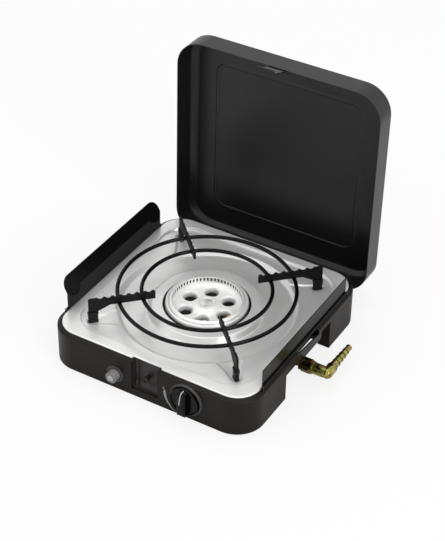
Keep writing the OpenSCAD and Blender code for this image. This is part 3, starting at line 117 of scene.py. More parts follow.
@dataclass(frozen=True)
class Finish:
    """A real material with the marks that its making left.

    Sizes are millimetres. colours are the two that it drifts between, or more for clouds
    of tint. mark_mm is the spacing of the fine marks, depth_mm their height, patch_mm the
    size of the slow changes of colour and gloss. edge is the colour that sharp edges are
    paled to, a painted highlight, and turned says how far the rings of a lathe stretch the
    highlights.
    """

    name: str
    colours: tuple[str, ...]
    roughness: float
    rough_swing: float = 0.04
    metallic: float = 0.0
    mark_mm: float = 1.5
    depth_mm: float = 0.01
    patch_mm: float = 40.0
    grain: Grain = Grain.EVEN
    specular: float = 0.5
    edge: str = ""
    turned: float = 0.0

    def colour(self, tree: bpy.types.NodeTree,
               patches: bpy.types.NodeSocket) -> bpy.types.NodeSocket:
        """Lets the colour drift with the slow noise, and pales sharp edges as a painted
        highlight.

        Args:
            tree: Node tree of the material.
            patches: Output of the slow noise.

        Returns:
            Output that gives the colour.
        """
        if len(self.colours) == 2:
            first, second = (linear(code) for code in self.colours)
            drift = add(tree, "ShaderNodeMix", {"Factor": patches, 6: first, 7: second},
                        data_type="RGBA").outputs[2]
        else:
            ramp = add(tree, "ShaderNodeValToRGB", {"Fac": patches})
            spots = ramp.color_ramp.elements
            low, high = CLOUD_SPAN
            for i, code in enumerate(self.colours):
                stop = low + (high - low) * i / (len(self.colours) - 1)
                spot = spots[i] if i < 2 else spots.new(stop)
                spot.position = stop
                spot.color = linear(code)
            drift = ramp.outputs["Color"]
        if not self.edge:
            return drift
        # Painted highlight: the pointier the surface, the more it is paled towards the edge
        # colour.
        edge_highlight = add(tree, "ShaderNodeMapRange", {
            "Value": add(tree, "ShaderNodeNewGeometry").outputs["Pointiness"],
            "From Min": EDGE_HIGHLIGHT_SPAN[0], "From Max": EDGE_HIGHLIGHT_SPAN[1]})
        return add(tree, "ShaderNodeMix", {"Factor": edge_highlight.outputs[0], 6: drift,
                                           7: linear(self.edge)},
                   data_type="RGBA").outputs[2]

    def make(self) -> bpy.types.Material:
        """Builds the material the first time it is asked for.

        Returns:
            The material.
        """
        found = bpy.data.materials.get(self.name)
        if found:
            return found
        material = bpy.data.materials.new(self.name)
        material.use_nodes = True
        tree = material.node_tree
        tree.nodes.clear()
        place = add(tree, "ShaderNodeTexCoord").outputs["Object"]
        scale = [v / (self.mark_mm * MM) for v in self.grain.value]
        along = add(tree, "ShaderNodeVectorMath", {0: place, 1: scale}, operation="MULTIPLY")
        marks = add(tree, "ShaderNodeTexNoise", {"Vector": along.outputs[0], "Scale": 1.0,
                                                 "Detail": 3.0, "Roughness": 0.6})
        patches = add(tree, "ShaderNodeTexNoise", {"Vector": place, "Detail": 4.0,
                                                   "Scale": 1 / (self.patch_mm * MM)})
        both = add(tree, "ShaderNodeMath", {0: marks.outputs["Fac"], 1: patches.outputs["Fac"]},
                   operation="ADD")
        rough = add(tree, "ShaderNodeMapRange", {
            "Value": both.outputs[0], "From Min": GLOSS_SPAN[0], "From Max": GLOSS_SPAN[1],
            "To Min": max(0.02, self.roughness - self.rough_swing),
            "To Max": self.roughness + self.rough_swing})
        bump = add(tree, "ShaderNodeBump", {"Height": marks.outputs["Fac"], "Strength": 1.0,
                                            "Distance": self.depth_mm * MM})
        shader = add(tree, "ShaderNodeBsdfPrincipled", {
            "Base Color": self.colour(tree, patches.outputs["Fac"]),
            "Roughness": rough.outputs[0], "Metallic": self.metallic,
            "Normal": bump.outputs[0], "Specular IOR Level": self.specular})
        if self.turned:
            shader.inputs["Anisotropic"].default_value = self.turned
            rings = add(tree, "ShaderNodeTangent", direction_type="RADIAL", axis="Z")
            tree.links.new(rings.outputs[0], shader.inputs["Tangent"])
        add(tree, "ShaderNodeOutputMaterial", {"Surface": shader.outputs[0]})
        return material

    def dress(self, *objects: bpy.types.Object) -> None:
        """Puts the material on every slot of each object.

        Args:
            *objects: Pieces or CAD nodes that take this finish.
        """
        for obj in objects:
            if not obj.material_slots:
                obj.data.materials.append(None)
            for slot in obj.material_slots:
                slot.material = self.make()


# Stoving enamel over deep-drawn steel: brownish black, half matt, with a fine orange peel.
BODY_ENAMEL = Finish("Enamel, stoved brown-black on drawn steel", ("#1b1715", "#171311"), 0.4,
                     mark_mm=1.0, depth_mm=0.05, patch_mm=60, specular=0.16)
# The same enamel in the pocket, made lighter and greyer as painted light in the pocket's shade.
POCKET_ENAMEL_PAINTED_LIGHT = Finish("Enamel, stoved black, lightened as painted light", ("#2c2928", "#252322"), 0.4,
                       mark_mm=0.9, depth_mm=0.05, patch_mm=25, specular=0.42)
# Satin stoving enamel over thin sheet: flatter than the body, so it mirrors less.
SHIELD_ENAMEL = Finish("Enamel, satin stoved black on sheet", ("#0c0c0c", "#0a0909"), 0.24,
                       mark_mm=1.6, depth_mm=0.02, patch_mm=50, specular=0.14)
# The same stoving enamel inside and outside the lid, where it is a more neutral black.
LID_ENAMEL = Finish("Enamel, stoved black on drawn steel", ("#181818", "#131313"), 0.34,
                    mark_mm=1.1, depth_mm=0.09, patch_mm=60, specular=0.38)
# Heat-proof enamel sprayed on the stamped arms: nearly matt.
ARM_ENAMEL = Finish("Enamel, heat-proof sprayed black on stampings", ("#0c0c0c", "#101010"),
                    0.55, mark_mm=0.9, depth_mm=0.02, patch_mm=20, specular=0.16)
# Heat-proof enamel dipped over the wire rings: black, with soft bright lines.
GRATE_ENAMEL = Finish("Enamel, heat-proof dipped black on wire", ("#040404", "#070707"), 0.13,
                      mark_mm=1.2, depth_mm=0.006, patch_mm=25, specular=0.16)
# Cold-rolled stainless with a fine straight grain: pale satin with long soft highlights.
TRAY_STEEL = Finish("Stainless steel, cold rolled and pressed", ("#ededec", "#e7e7e6"), 0.34,
                    rough_swing=0.05, metallic=0.46, mark_mm=0.7, depth_mm=0.004,
                    patch_mm=70, grain=Grain.ALONG_X)
# Pressed aluminium: bright and clean, with a faint even grain.
BURNER_ALLOY = Finish("Aluminium, pressed", ("#f3f3f2", "#ededec"), 0.36,
                      metallic=0.5, mark_mm=0.6, depth_mm=0.0015, patch_mm=20)
# The same aluminium faced on a lathe: rings too fine to see fan the light into a bow tie.
TURNED_ALLOY = Finish("Aluminium, lathe faced", ("#f7f7f6", "#f1f1f0"), 0.34,
                      metallic=0.6, mark_mm=0.6, depth_mm=0.001, patch_mm=20, turned=0.85)
# Inside of the burner, with the mill's plain dull skin.
BOWL_ALLOY = Finish("Aluminium, pressed, mill finish", ("#8f8e8c", "#7d7c7a"), 0.4,
                    metallic=0.9, mark_mm=0.6, depth_mm=0.002, patch_mm=14)
# Inside of the ring and its slots: brown-black and dull, painted shade in the slots.
SLOT_SHADE_ALLOY = Finish("Aluminium, darkened as painted shade", ("#191716", "#24211f"), 0.7,
                      metallic=0.3, mark_mm=0.6, depth_mm=0.004, patch_mm=5)
# Tumbled pressed steel of the dish: bright satin without a direction.
DISH_STEEL = Finish("Stainless steel, pressed and tumbled", ("#f7f7f6", "#f1f1f0"), 0.42,
                    metallic=0.2, mark_mm=0.8, depth_mm=0.002, patch_mm=18)
# Bright zinc over pressed steel: a cool grey with faint cloudy spangle.
ZINC = Finish("Steel, bright zinc plated", ("#a9abac", "#94979a"), 0.32, rough_swing=0.08,
              metallic=1.0, mark_mm=0.7, depth_mm=0.003, patch_mm=9)
# The pan's zinc, made a dull dark grey as painted shade where it shows through the side
# opening.
PAN_ZINC_PAINTED_SHADE = Finish("Steel, zinc plated, darkened as painted shade", ("#4b4d4f", "#3f4143"), 0.5,
                  rough_swing=0.08, metallic=0.8, mark_mm=0.8, depth_mm=0.004, patch_mm=12)
# Black oxide on small steel fittings: dark and slightly oily.
BLACK_STEEL = Finish("Steel, black oxide", ("#2a2827", "#343230"), 0.34, metallic=0.5,
                     mark_mm=0.6, depth_mm=0.004, patch_mm=8, specular=0.35)
# Yellow chromate over zinc: old gold that turns greenish and pink in clouds.
YELLOW_ZINC = Finish("Steel, yellow passivated zinc",
                     ("#3c3718", "#a9965a", "#76903c", "#c9a878", "#bd7c6c"), 0.24,
                     rough_swing=0.06, metallic=1.0, mark_mm=0.5, depth_mm=0.002, patch_mm=9)
# The same plating on the nut, its random clouds of tint made darker as painted dark reflection.
NUT_ZINC_PAINTED_REFLECTION = Finish("Steel, yellow passivated zinc, darkened",
                  ("#1d160b", "#3a2c14", "#8a6f34", "#4a3418", "#c8845f"), 0.3,
                  rough_swing=0.08, metallic=1.0, mark_mm=0.8, depth_mm=0.01, patch_mm=6)
# Turned brass: warm yellow with fine tool marks.
BRASS = Finish("Brass, turned", ("#c9a24f", "#b58d40"), 0.24, metallic=1.0, mark_mm=0.4,
               depth_mm=0.002, patch_mm=9)
# Drawn copper tube: reddish and slightly dulled by handling.
COPPER = Finish("Copper, drawn tube", ("#d09a5c", "#b8814a"), 0.3, metallic=1.0, mark_mm=0.6,
                depth_mm=0.002, patch_mm=10)
# Phenolic moulding: deep gloss black, only broken by faint swirls.
KNOB_PLASTIC = Finish("Phenolic, moulded gloss black", ("#060606", "#080808"), 0.1,
                      mark_mm=3.0, depth_mm=0.004, patch_mm=20, specular=0.15)
# ABS moulding: mid grey with a fine spark-eroded texture; its sharp edges are paled as a
# painted highlight.
BUTTON_PLASTIC = Finish("ABS, moulded grey", ("#767676", "#6e6e6e"), 0.34, mark_mm=0.35,
                        depth_mm=0.006, patch_mm=6, edge="#a6a6a6")
# Filled nylon: dark grey moulded trim with a dry surface.
TRIM_PLASTIC = Finish("Nylon, moulded dark grey", ("#413f3f", "#3a3938"), 0.5, mark_mm=0.4,
                      depth_mm=0.01, patch_mm=10, specular=0.35)
# Moulded nitrile rubber: charcoal, matt, with a faint bloom.
RUBBER = Finish("Nitrile rubber, moulded", ("#070707", "#0b0b0c"), 0.5, rough_swing=0.08,
                mark_mm=0.5, depth_mm=0.015, patch_mm=7, specular=0.2)
# Silicone sleeving over a lead: smooth pale grey.
SLEEVING = Finish("Silicone sleeve, extruded grey", ("#6b6a67", "#5e5d5b"), 0.5, mark_mm=0.6,
                  depth_mm=0.004, patch_mm=12)
# Pressed alumina with a thin glaze: creamy white.
CERAMIC = Finish("Alumina, glazed", ("#e3ddcf", "#d8d0bf"), 0.3, mark_mm=0.5, depth_mm=0.003,
                 patch_mm=5)
# Screen-printed ink: thin grey film with a dry edge.
INK = Finish("Ink, screen printed grey", ("#8f8f8e", "#868685"), 0.55, mark_mm=0.3,
             depth_mm=0.006, patch_mm=4)
# Pad-printed paint of the pointer: pale grey and half matt.
POINTER_PAINT = Finish("Paint, pad printed pale grey", ("#c9c9c8", "#bfbfbe"), 0.45,
                       mark_mm=0.3, depth_mm=0.004, patch_mm=4)

CAD_FINISHES: dict[Finish, tuple[str, ...]] = {
    BODY_ENAMEL: ("base_shell",),
    LID_ENAMEL: ("lid_shell", "lid_arm_left", "lid_arm_right", "lid_rivets", "lid_latch",
                 "latch_bracket"),
    SHIELD_ENAMEL: ("windshield_left", "windshield_right"),
    GRATE_ENAMEL: ("grate_outer_ring", "grate_inner_ring"),
    ARM_ENAMEL: ("grate_arm_front_left", "grate_arm_front_right", "grate_arm_back_left",
                 "grate_arm_back_right"),
    TRAY_STEEL: ("drip_tray",),
    BURNER_ALLOY: ("burner_ring", "burner_hub"),
    BOWL_ALLOY: ("burner_bowl",),
    DISH_STEEL: ("burner_dish",),
    # The bottom pan's zinc is darkened as painted shade.
    PAN_ZINC_PAINTED_SHADE: ("bottom_pan",),
    ZINC: ("bottom_screws", "inner_screws", "burner_bracket", "mixing_tube",
           "air_shutter", "valve_bracket", "valve_collar", "hinge_bracket_left",
           "hinge_bracket_right", "hinge_pins", "latch_pin", "igniter_nut",
           "windshield_pins"),
    BLACK_STEEL: ("inlet_bracket", "windshield_lugs", "catch_hook"),
    YELLOW_ZINC: ("inlet_nut", "inlet_elbow", "hose_tail"),
    BRASS: ("gas_jet", "gas_valve", "valve_spindle"),
    COPPER: ("gas_pipe", "spark_electrode", "thermocouple", "thermocouple_lead"),
    KNOB_PLASTIC: ("control_knob",),
    BUTTON_PLASTIC: ("igniter_button",),
    TRIM_PLASTIC: ("knob_bezel", "igniter_bezel", "piezo_igniter"),
    RUBBER: ("rubber_feet", "foot_cap_front_left", "foot_cap_front_right",
             "foot_cap_back_left", "foot_cap_back_right"),
    SLEEVING: ("ignition_lead",),
    CERAMIC: ("electrode_insulator",),
}


# ---------- mesh helpers ----------

def rounded(line: Line, radii: list[float], steps: int = 6) -> Line:
    """Rounds the corners of an open line.

    Args:
        line: Corner points, in millimetres.
        radii: Radius at each point; the ends are left as they are.
        steps: Number of parts in each rounded corner.

    Returns:
        The points of the softened line.
    """
    soft = [line[0]]
    for before, here, after, radius in zip(line, line[1:], line[2:], radii[1:]):
        a, p, b = Vector(before), Vector(here), Vector(after)
        u, v = (a - p).normalized(), (b - p).normalized()
        half = u.angle(v) / 2
        run = min(radius / math.tan(half), (a - p).length * 0.49, (b - p).length * 0.49)
        start, end = p + u * run, p + v * run
        for i in range(steps + 1):
            t = i / steps
            q = start * (1 - t) ** 2 + p * (2 * t * (1 - t)) + end * t ** 2
            soft.append((q.x, q.y))
    return soft + [line[-1]]


def lathe(mesh: bmesh.types.BMesh, line: Line, place: Matrix, steps: int = 96,
          sides: int = 0) -> None:
    """Turns a line of radius and height about the Z axis of a place.

    Args:
        mesh: Mesh that takes the surface.
        line: Radius and height of each point, in millimetres.
        place: Where the axis stands, in millimetres.
        steps: Number of parts round the axis.
        sides: Number of flats, or 0 for a round piece; a radius is then the corner's.
    """
    rings = []
    for radius, height in line:
        ring = []
        for i in range(steps):
            angle = 2 * math.pi * i / steps
            reach = radius
            if sides:
                flat = radius * math.cos(math.pi / sides)
                turn = (angle + math.pi / sides) % (2 * math.pi / sides) - math.pi / sides
                reach = min(radius, flat / math.cos(turn))
            ring.append(mesh.verts.new(place @ Vector((
                reach * math.cos(angle), reach * math.sin(angle), height))))
        rings.append(ring)
    join_rings(mesh, rings)


def join_rings(mesh: bmesh.types.BMesh, rings: list[list[bmesh.types.BMVert]]) -> None:
    """Fills the bands between closed rings.

    Args:
        mesh: Mesh that the rings belong to.
        rings: Rings from one end to the other, each with the same number of points.
    """
    for low, high in zip(rings, rings[1:]):
        for i, corner in enumerate(low):
            j = (i + 1) % len(low)
            mesh.faces.new((corner, low[j], high[j], high[i]))


def around(radius: float, turn: float) -> Vector:
    """Gives the point of a plane at a radius and an angle in radians."""
    return Vector((math.cos(turn), math.sin(turn))) * radius


def enter(name: str, data: bpy.types.ID) -> bpy.types.Object:
    """Makes an object of its data and links it to the scene.

    Args:
        name: Name of the object.
        data: Its mesh, lamp or camera.

    Returns:
        The new object.
    """
    obj = bpy.data.objects.new(name, data)
    bpy.context.scene.collection.objects.link(obj)
    return obj


def enter_mesh(name: str, mesh: bmesh.types.BMesh) -> bpy.types.Object:
    """Makes an object of a mesh, which is used up.

    Args:
        name: Name of the object and of its mesh.
        mesh: Its mesh, in metres.

    Returns:
        The new object.
    """
    data = bpy.data.meshes.new(name)
    mesh.to_mesh(data)
    mesh.free()
    return enter(name, data)


def put(name: str, mesh: bmesh.types.BMesh, finish: Finish, body: str,
        replaced: tuple[str, ...] = (), sheet: float = 0.0, crease: float = 40.0,
        facing: Point | None = None) -> bpy.types.Object:
    """Turns a mesh in millimetres into a finished piece that moves with a body.

    Args:
        name: Name of the piece.
        mesh: Its mesh, which is used up.
        finish: Its finish.
        body: Body that it moves with.
        replaced: CAD nodes that it stands for.
        sheet: Thickness given to an open surface, in millimetres, below its face.
        crease: Angle from which an edge stays sharp, in degrees.
        facing: Direction that an open surface faces.

    Returns:
        The new object.
    """
    bmesh.ops.recalc_face_normals(mesh, faces=mesh.faces)
    if facing:
        front = sum(f.normal.dot(Vector(facing)) * f.calc_area() for f in mesh.faces)
        if front < 0:
            bmesh.ops.reverse_faces(mesh, faces=mesh.faces)
    mesh.transform(Matrix.Scale(MM, 4))
    obj = enter_mesh(name, mesh)
    obj.data.shade_smooth()
    obj.data.set_sharp_from_angle(angle=math.radians(crease))
    if sheet:
        wall = obj.modifiers.new("sheet", "SOLIDIFY")
        wall.thickness = sheet * MM
        wall.offset = -1
    finish.dress(obj)
    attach(obj, body)
    if replaced:
        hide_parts(*replaced)
    LOG.info("%s: %d points, %s", name, len(obj.data.vertices), finish.name)
    return obj


def soften(width: float, *names: str) -> None:
    """Breaks the sharp edges of CAD nodes with a small round bevel.

    Args:
        width: Width of the bevel, in millimetres.
        *names: CAD nodes that take it.
    """
    for name in names:
        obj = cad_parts[name]
        clean = obj.modifiers.new("clean flats", "DECIMATE")
        clean.decimate_type = "DISSOLVE"
        clean.angle_limit = math.radians(FLAT_ANGLE)
        bevel = obj.modifiers.new("broken edge", "BEVEL")
        bevel.width = width * MM
        bevel.segments = 2
        bevel.limit_method = "ANGLE"
        bevel.angle_limit = math.radians(EDGE_ANGLE)
        bevel.harden_normals = True


# ---------- pieces ----------

@dataclass
class PressedTray:
    """Drip tray, drawn from one sheet: rim, step, panel, foot channels, bowl and collar.

    channel_half is half the width of a foot channel at each distance channel_out from the
    bowl's middle. rolled_edge says how far each loop of the rim's edge lies inside the
    tray's outer size and below the rim. row is the spacing of the loops of points on the
    bowl, and fillet the run of the round at the foot of the step.
    """

    width: float = 298.4
    depth: float = 303.4
    corner: float = 33.2
    rim_side: float = 14.0
    rim_front: float = 17.0
    rim_rear: float = 14.0
    panel_corner: float = 38.0
    step: float = 2.0
    ledge_z: float = 57.1
    rim_z: float = 59.1
    panel_z: float = 56.1
    seat_z: float = SEAT_Z
    bowl_z: float = 50.3
    collar_z: float = 58.0
    hole: float = 60.2
    collar: float = 75.0
    collar_foot: float = 80.5
    bowl_foot: float = 117.5
    bowl: float = 124.0
    panel_start: float = 127.0
    row: float = 1.3
    panel_rows: int = 60
    corner_parts: int = 14
    fillet: float = 1.6
    channel_out: tuple[float, ...] = (110, 118, 140, 158.3)
    channel_half: tuple[float, ...] = (20.5, 18.5, 10.25, 6.7)
    channel_lean: float = 0.94
    channel_edge: float = 1.3
    rolled_edge: tuple[tuple[float, float], ...] = (
        (2.8, 0), (2.0, 0), (1.1, 0.06), (0.5, 0.22), (0.12, 0.5), (0, 0.85), (0, 1.25),
        (0, 1.7), (0.5, 1.85))
    middle: float = BOWL_Y
    notch_half: float = 20.5
    notch_y: float = -148.0
    sheet: float = 0.9
    spokes: int = 720

    def channel(self, x: np.ndarray, y: np.ndarray) -> np.ndarray:
        """Says how far each point lies inside a foot channel.

        Args:
            x: X of the points, in millimetres.
            y: Y of the points, from the middle of the bowl.

        Returns:
            Distance inside the channel's edge, negative outside it.
        """
        out = (np.abs(x) + np.abs(y)) / math.sqrt(2)
        side = np.abs(np.abs(x) - np.abs(y)) / math.sqrt(2)
        half = np.interp(out, self.channel_out, self.channel_half)
        end, tip = self.channel_out[-1], self.channel_half[-1]
        return np.where(out < end, (half - side) * self.channel_lean,
                        tip - np.hypot(out - end, side))

    def height(self, x: np.ndarray, y: np.ndarray, plain: np.ndarray) -> np.ndarray:
        """Lowers a plain height by the foot channels.

        Args:
            x: X of the points, in millimetres.
            y: Y of the points, from the middle of the bowl.
            plain: Height without the channels.

        Returns:
            Height with the channels.
        """
        inside = np.clip(self.channel(x, y) / self.channel_edge + 0.4, 0, 1)
        drop = (self.panel_z - self.seat_z) * inside * inside * (3 - 2 * inside)
        return np.where(plain > self.panel_z + 0.01, plain,
                        np.minimum(plain, self.panel_z - drop))

    def reach(self, angle: np.ndarray, out: float) -> np.ndarray:
        """Measures from the middle to a rounded rectangle round the panel.

        Args:
            angle: Directions, in radians.
            out: Distance of the rectangle outside the foot of the step.

        Returns:
            Distance along each direction, in millimetres.
        """
        half = np.array([self.width / 2 - self.rim_side - self.step + out,
                         self.depth / 2 - (self.rim_front + self.rim_rear) / 2
                         - self.step + out])
        radius = self.panel_corner + out
        shift = self.middle - (self.rim_front - self.rim_rear) / 2
        near, far = np.zeros_like(angle), np.full_like(angle, 400.0)
        for _ in range(40):
            mid = (near + far) / 2
            away = np.abs(np.stack([mid * np.cos(angle), shift + mid * np.sin(angle)]))
            away -= (half - radius)[:, None]
            gap = (np.hypot(*np.maximum(away, 0)) + np.minimum(away.max(axis=0), 0)) - radius
            far = np.where(gap > 0, mid, far)
            near = np.where(gap > 0, near, mid)
        return near

    def outline(self, inset: float) -> Line:
        """Lists the outer edge of the rim, with its notch for the latch pocket.

        Args:
            inset: How far the line lies inside the tray's outer size, in millimetres.

        Returns:
            The points of the closed line.
        """
        points: Line = []
        half_x, half_y = self.width / 2 - inset, self.depth / 2 - inset
        radius, parts = self.corner - inset, self.corner_parts
        for quarter in range(4):
            cx = (half_x - radius) * (1 if quarter in (0, 3) else -1)
            cy = (half_y - radius) * (1 if quarter < 2 else -1)
            for i in range(parts + 1):
                turn = math.pi / 2 * (quarter + i / parts)
                points.append((cx + radius * math.cos(turn), cy + radius * math.sin(turn)))
            if quarter == 2:
                notch = self.notch_half + inset
                deep = self.notch_y + inset
                points += [(-notch, -half_y), (-notch, deep), (notch, deep), (notch, -half_y)]
        return points

    def loops(self) -> list[tuple[np.ndarray, np.ndarray]]:
        """Gives the closed loops from the collar's hole out to the rim.

        Returns:
            For each loop its radius and its height at every spoke, without the channels.
        """
        angle = self.angles()
        flat = np.ones_like(angle)
        section = rounded(
            [(self.hole, self.collar_z - 3), (self.hole, self.collar_z),
             (self.collar, self.collar_z), (self.collar_foot, self.bowl_z),
             (self.bowl_foot, self.bowl_z), (self.bowl, self.panel_z),
             (self.panel_start, self.panel_z)], [0, 0.8, 3.2, 3.2, 6, 1.6, 0])
        loops = []
        for (r0, z0), (r1, z1) in zip(section, section[1:]):
            parts = max(1, round(abs(r1 - r0) / self.row))
            for i in range(parts):
                t = i / parts
                loops.append((flat * (r0 + (r1 - r0) * t), flat * (z0 + (z1 - z0) * t)))
        foot = self.reach(angle, -self.fillet)
        for i in range(self.panel_rows + 1):
            loops.append((self.panel_start + (foot - self.panel_start) * i / self.panel_rows,
                          flat * self.panel_z))
        step = rounded([(-self.fillet, self.panel_z), (0, self.panel_z),
                        (self.step, self.rim_z), (2 * self.step, self.rim_z)],
                       [0, 0.8, 0.8, 0], 5)
        return loops + [(self.reach(angle, out), flat * z) for out, z in step[1:]]

    def angles(self) -> np.ndarray:
        """Gives the directions of the spokes, in radians."""
        return np.linspace(0, 2 * math.pi, self.spokes, endpoint=False)

    def build(self) -> None:
        """Builds the tray in place of its CAD node."""
        cos, sin = np.cos(self.angles()), np.sin(self.angles())
        mesh = bmesh.new()
        rings = []
        for radius, plain in self.loops():
            x, y = radius * cos, radius * sin
            z = self.height(x, y, plain)
            rings.append([mesh.verts.new(p) for p in zip(x, y + self.middle, z)])
        join_rings(mesh, rings)
        rolled = [(inset, self.rim_z - drop) for inset, drop in self.rolled_edge]
        edges = [[mesh.verts.new((x, y, z)) for x, y in self.outline(inset)]
                 for inset, z in rolled + [(1.2, self.ledge_z + 0.05)]]
        join_rings(mesh, edges)
        loose = edges[0] + rings[-1]
        for face in tessellate_polygon([[v.co for v in edges[0]], [v.co for v in rings[-1]]]):
            mesh.faces.new([loose[i] for i in face])
        put("drip_tray_pressed", mesh, TRAY_STEEL, "base", ("drip_tray",),
            sheet=self.sheet, crease=60, facing=(0, 0, 1))


@dataclass
class BurnerDish:
    """Pressed dish inside the burner: sloping sides, air holes with drawn lips and a hub.

    hole_rows gives, for each loop of points round an air hole, how far it stands outside
    the hole and its turn in parts of the circle. lip_rows gives how far each ring of the
    drawn lip hangs below the hole's edge and inside it. Elsewhere points stand on circles
    that are a row apart, density of them for each millimetre of radius.
    """

    middle: float = BOWL_Y
    dish_z: float = 53.5
    rim: float = 47.45
    holes: int = 6
    hole: float = 10.5
    hole_circle: float = 30.7
    first: float = 49.0
    lip: float = 1.5
    hub: float = 12.0
    boss: float = 3.4
    sheet: float = 0.7
    parts: int = 48
    row: float = 1.5
    density: float = 3.6
    clear: float = 2.6
    hole_rows: tuple[tuple[float, float], ...] = (
        (0, 0), (0.4, 0), (0.8, 0.5), (1.2, 0), (1.6, 0.5), (2.2, 0))
    lip_rows: tuple[tuple[float, float], ...] = ((0.5, 0.35), (1.3, 0.6), (7.0, 2.2))
    facets: int = 4
    facet_height: float = 0.1
    facet_turn: float = 0.6

    def centres(self) -> list[Vector]:
        """Lists the middles of the air holes, from the burner's axis."""
        return [around(self.hole_circle, math.radians(self.first + 360 * i / self.holes))
                for i in range(self.holes)]

    def section(self) -> Line:
        """Gives the dish's height over its radius.

        Returns:
            Radius and height of each point, from the hub out to the rim.
        """
        z = self.dish_z
        return rounded([(0, z + self.boss), (self.hub + 1.2, z + self.boss),
                        (self.hub + 3.2, z + self.boss - 0.7), (self.hub + 10.5, z),
                        (self.rim - 5.5, z + 0.3), (self.rim, z + 3.5)],
                       [0, 0.8, 2.5, 5, 4, 0], 5)

    def plan(self) -> tuple[list[Vector], list[tuple[int, int]]]:
        """Spreads points over the dish: loops round each hole, and circles elsewhere.

        Returns:
            The points, from the burner's axis, and the edges of the holes between them.
        """
        points: list[Vector] = []
        edges: list[tuple[int, int]] = []
        for centre in self.centres():
            first = len(points)
            edges += [(first + i, first + (i + 1) % self.parts) for i in range(self.parts)]
            for grow, shift in self.hole_rows:
                for i in range(self.parts):
                    turn = 2 * math.pi * (i + shift) / self.parts
                    points.append(centre + around(self.hole + grow, turn))
        circles = {p[0] for p in self.section()} | set(np.arange(self.row, self.rim, self.row))
        for radius in sorted(circles):
            count = max(6, int(radius * self.density))
            for i in range(count if radius > 0 else 1):
                spot = around(radius, 2 * math.pi * i / count)
                if all((spot - c).length > self.hole + self.clear for c in self.centres()):
                    points.append(spot)
        return points, edges

    def build_dish(self) -> None:
        """Builds the dish in place of its CAD node."""
        section = self.section()
        reach, level = [p[0] for p in section], [p[1] for p in section]
        points, edges = self.plan()
        flat, _, faces, *_ = delaunay_2d_cdt(points, edges, [], 0, 1e-5)
        mesh = bmesh.new()
        verts = []
        for spot in flat:
            gap = min((spot - c).length for c in self.centres()) - self.hole
            sink = max(0.0, self.lip - gap) ** 2 / (2 * self.lip)
            z = np.interp(spot.length, reach, level) - sink
            verts.append(mesh.verts.new((spot.x, spot.y + self.middle, z)))
        for face in faces:
            spot = sum((flat[i] for i in face), Vector((0, 0))) / 3
            if all((spot - c).length > self.hole - 0.05 for c in self.centres()):
                mesh.faces.new([verts[i] for i in face])
        for centre in self.centres():
            cx, cy = centre.x, self.middle + centre.y
            top = [v for v in verts if abs((Vector((v.co.x, v.co.y - self.middle)) - centre)
                                           .length - self.hole) < 0.01]
            top.sort(key=lambda v: math.atan2(v.co.y - cy, v.co.x - cx))
            rings = [top]
            for drop, narrow in self.lip_rows:
                left = 1 - narrow / self.hole
                rings.append([mesh.verts.new((cx + (v.co.x - cx) * left,
                                              cy + (v.co.y - cy) * left,
                                              v.co.z - drop)) for v in top])
            join_rings(mesh, rings)
        put("burner_dish_pressed", mesh, DISH_STEEL, "base",
            ("burner_dish",), sheet=self.sheet, crease=70, facing=(0, 0, 1))

    def build_hub(self) -> None:
        """Builds the round hub with its shallow facets in place of its CAD node."""
        z = self.dish_z + self.boss
        line = rounded([(self.hub, z + 0.02), (self.hub, z + 2.0), (self.hub - 1.5, z + 2.1),
                        (self.hub - 2.4, z + 1.5), (self.hub - 3.2, z + 1.5),
                        (0.3, z + 2.2)], [0, 0.7, 0.7, 0.5, 0.5, 0], 4)
        mesh = bmesh.new()
        lathe(mesh, line, Matrix.Translation((0, self.middle, 0)), 96)
        for vert in mesh.verts:
            radius = math.hypot(vert.co.x, vert.co.y - self.middle)
            if radius < self.hub - 3.1:
                turn = math.atan2(vert.co.y - self.middle, vert.co.x)
                vert.co.z += (self.facet_height * (radius / self.hub)
                              * math.cos(self.facets * turn + self.facet_turn))
        inner = [v for v in mesh.verts if math.hypot(v.co.x, v.co.y - self.middle) < 0.4]
        mesh.faces.new(inner)
        put("burner_hub_turned", mesh, TURNED_ALLOY, "base",
            ("burner_hub",), crease=50)

    def build(self) -> None:
        """Builds the dish and its hub."""
        self.build_dish()
        self.build_hub()


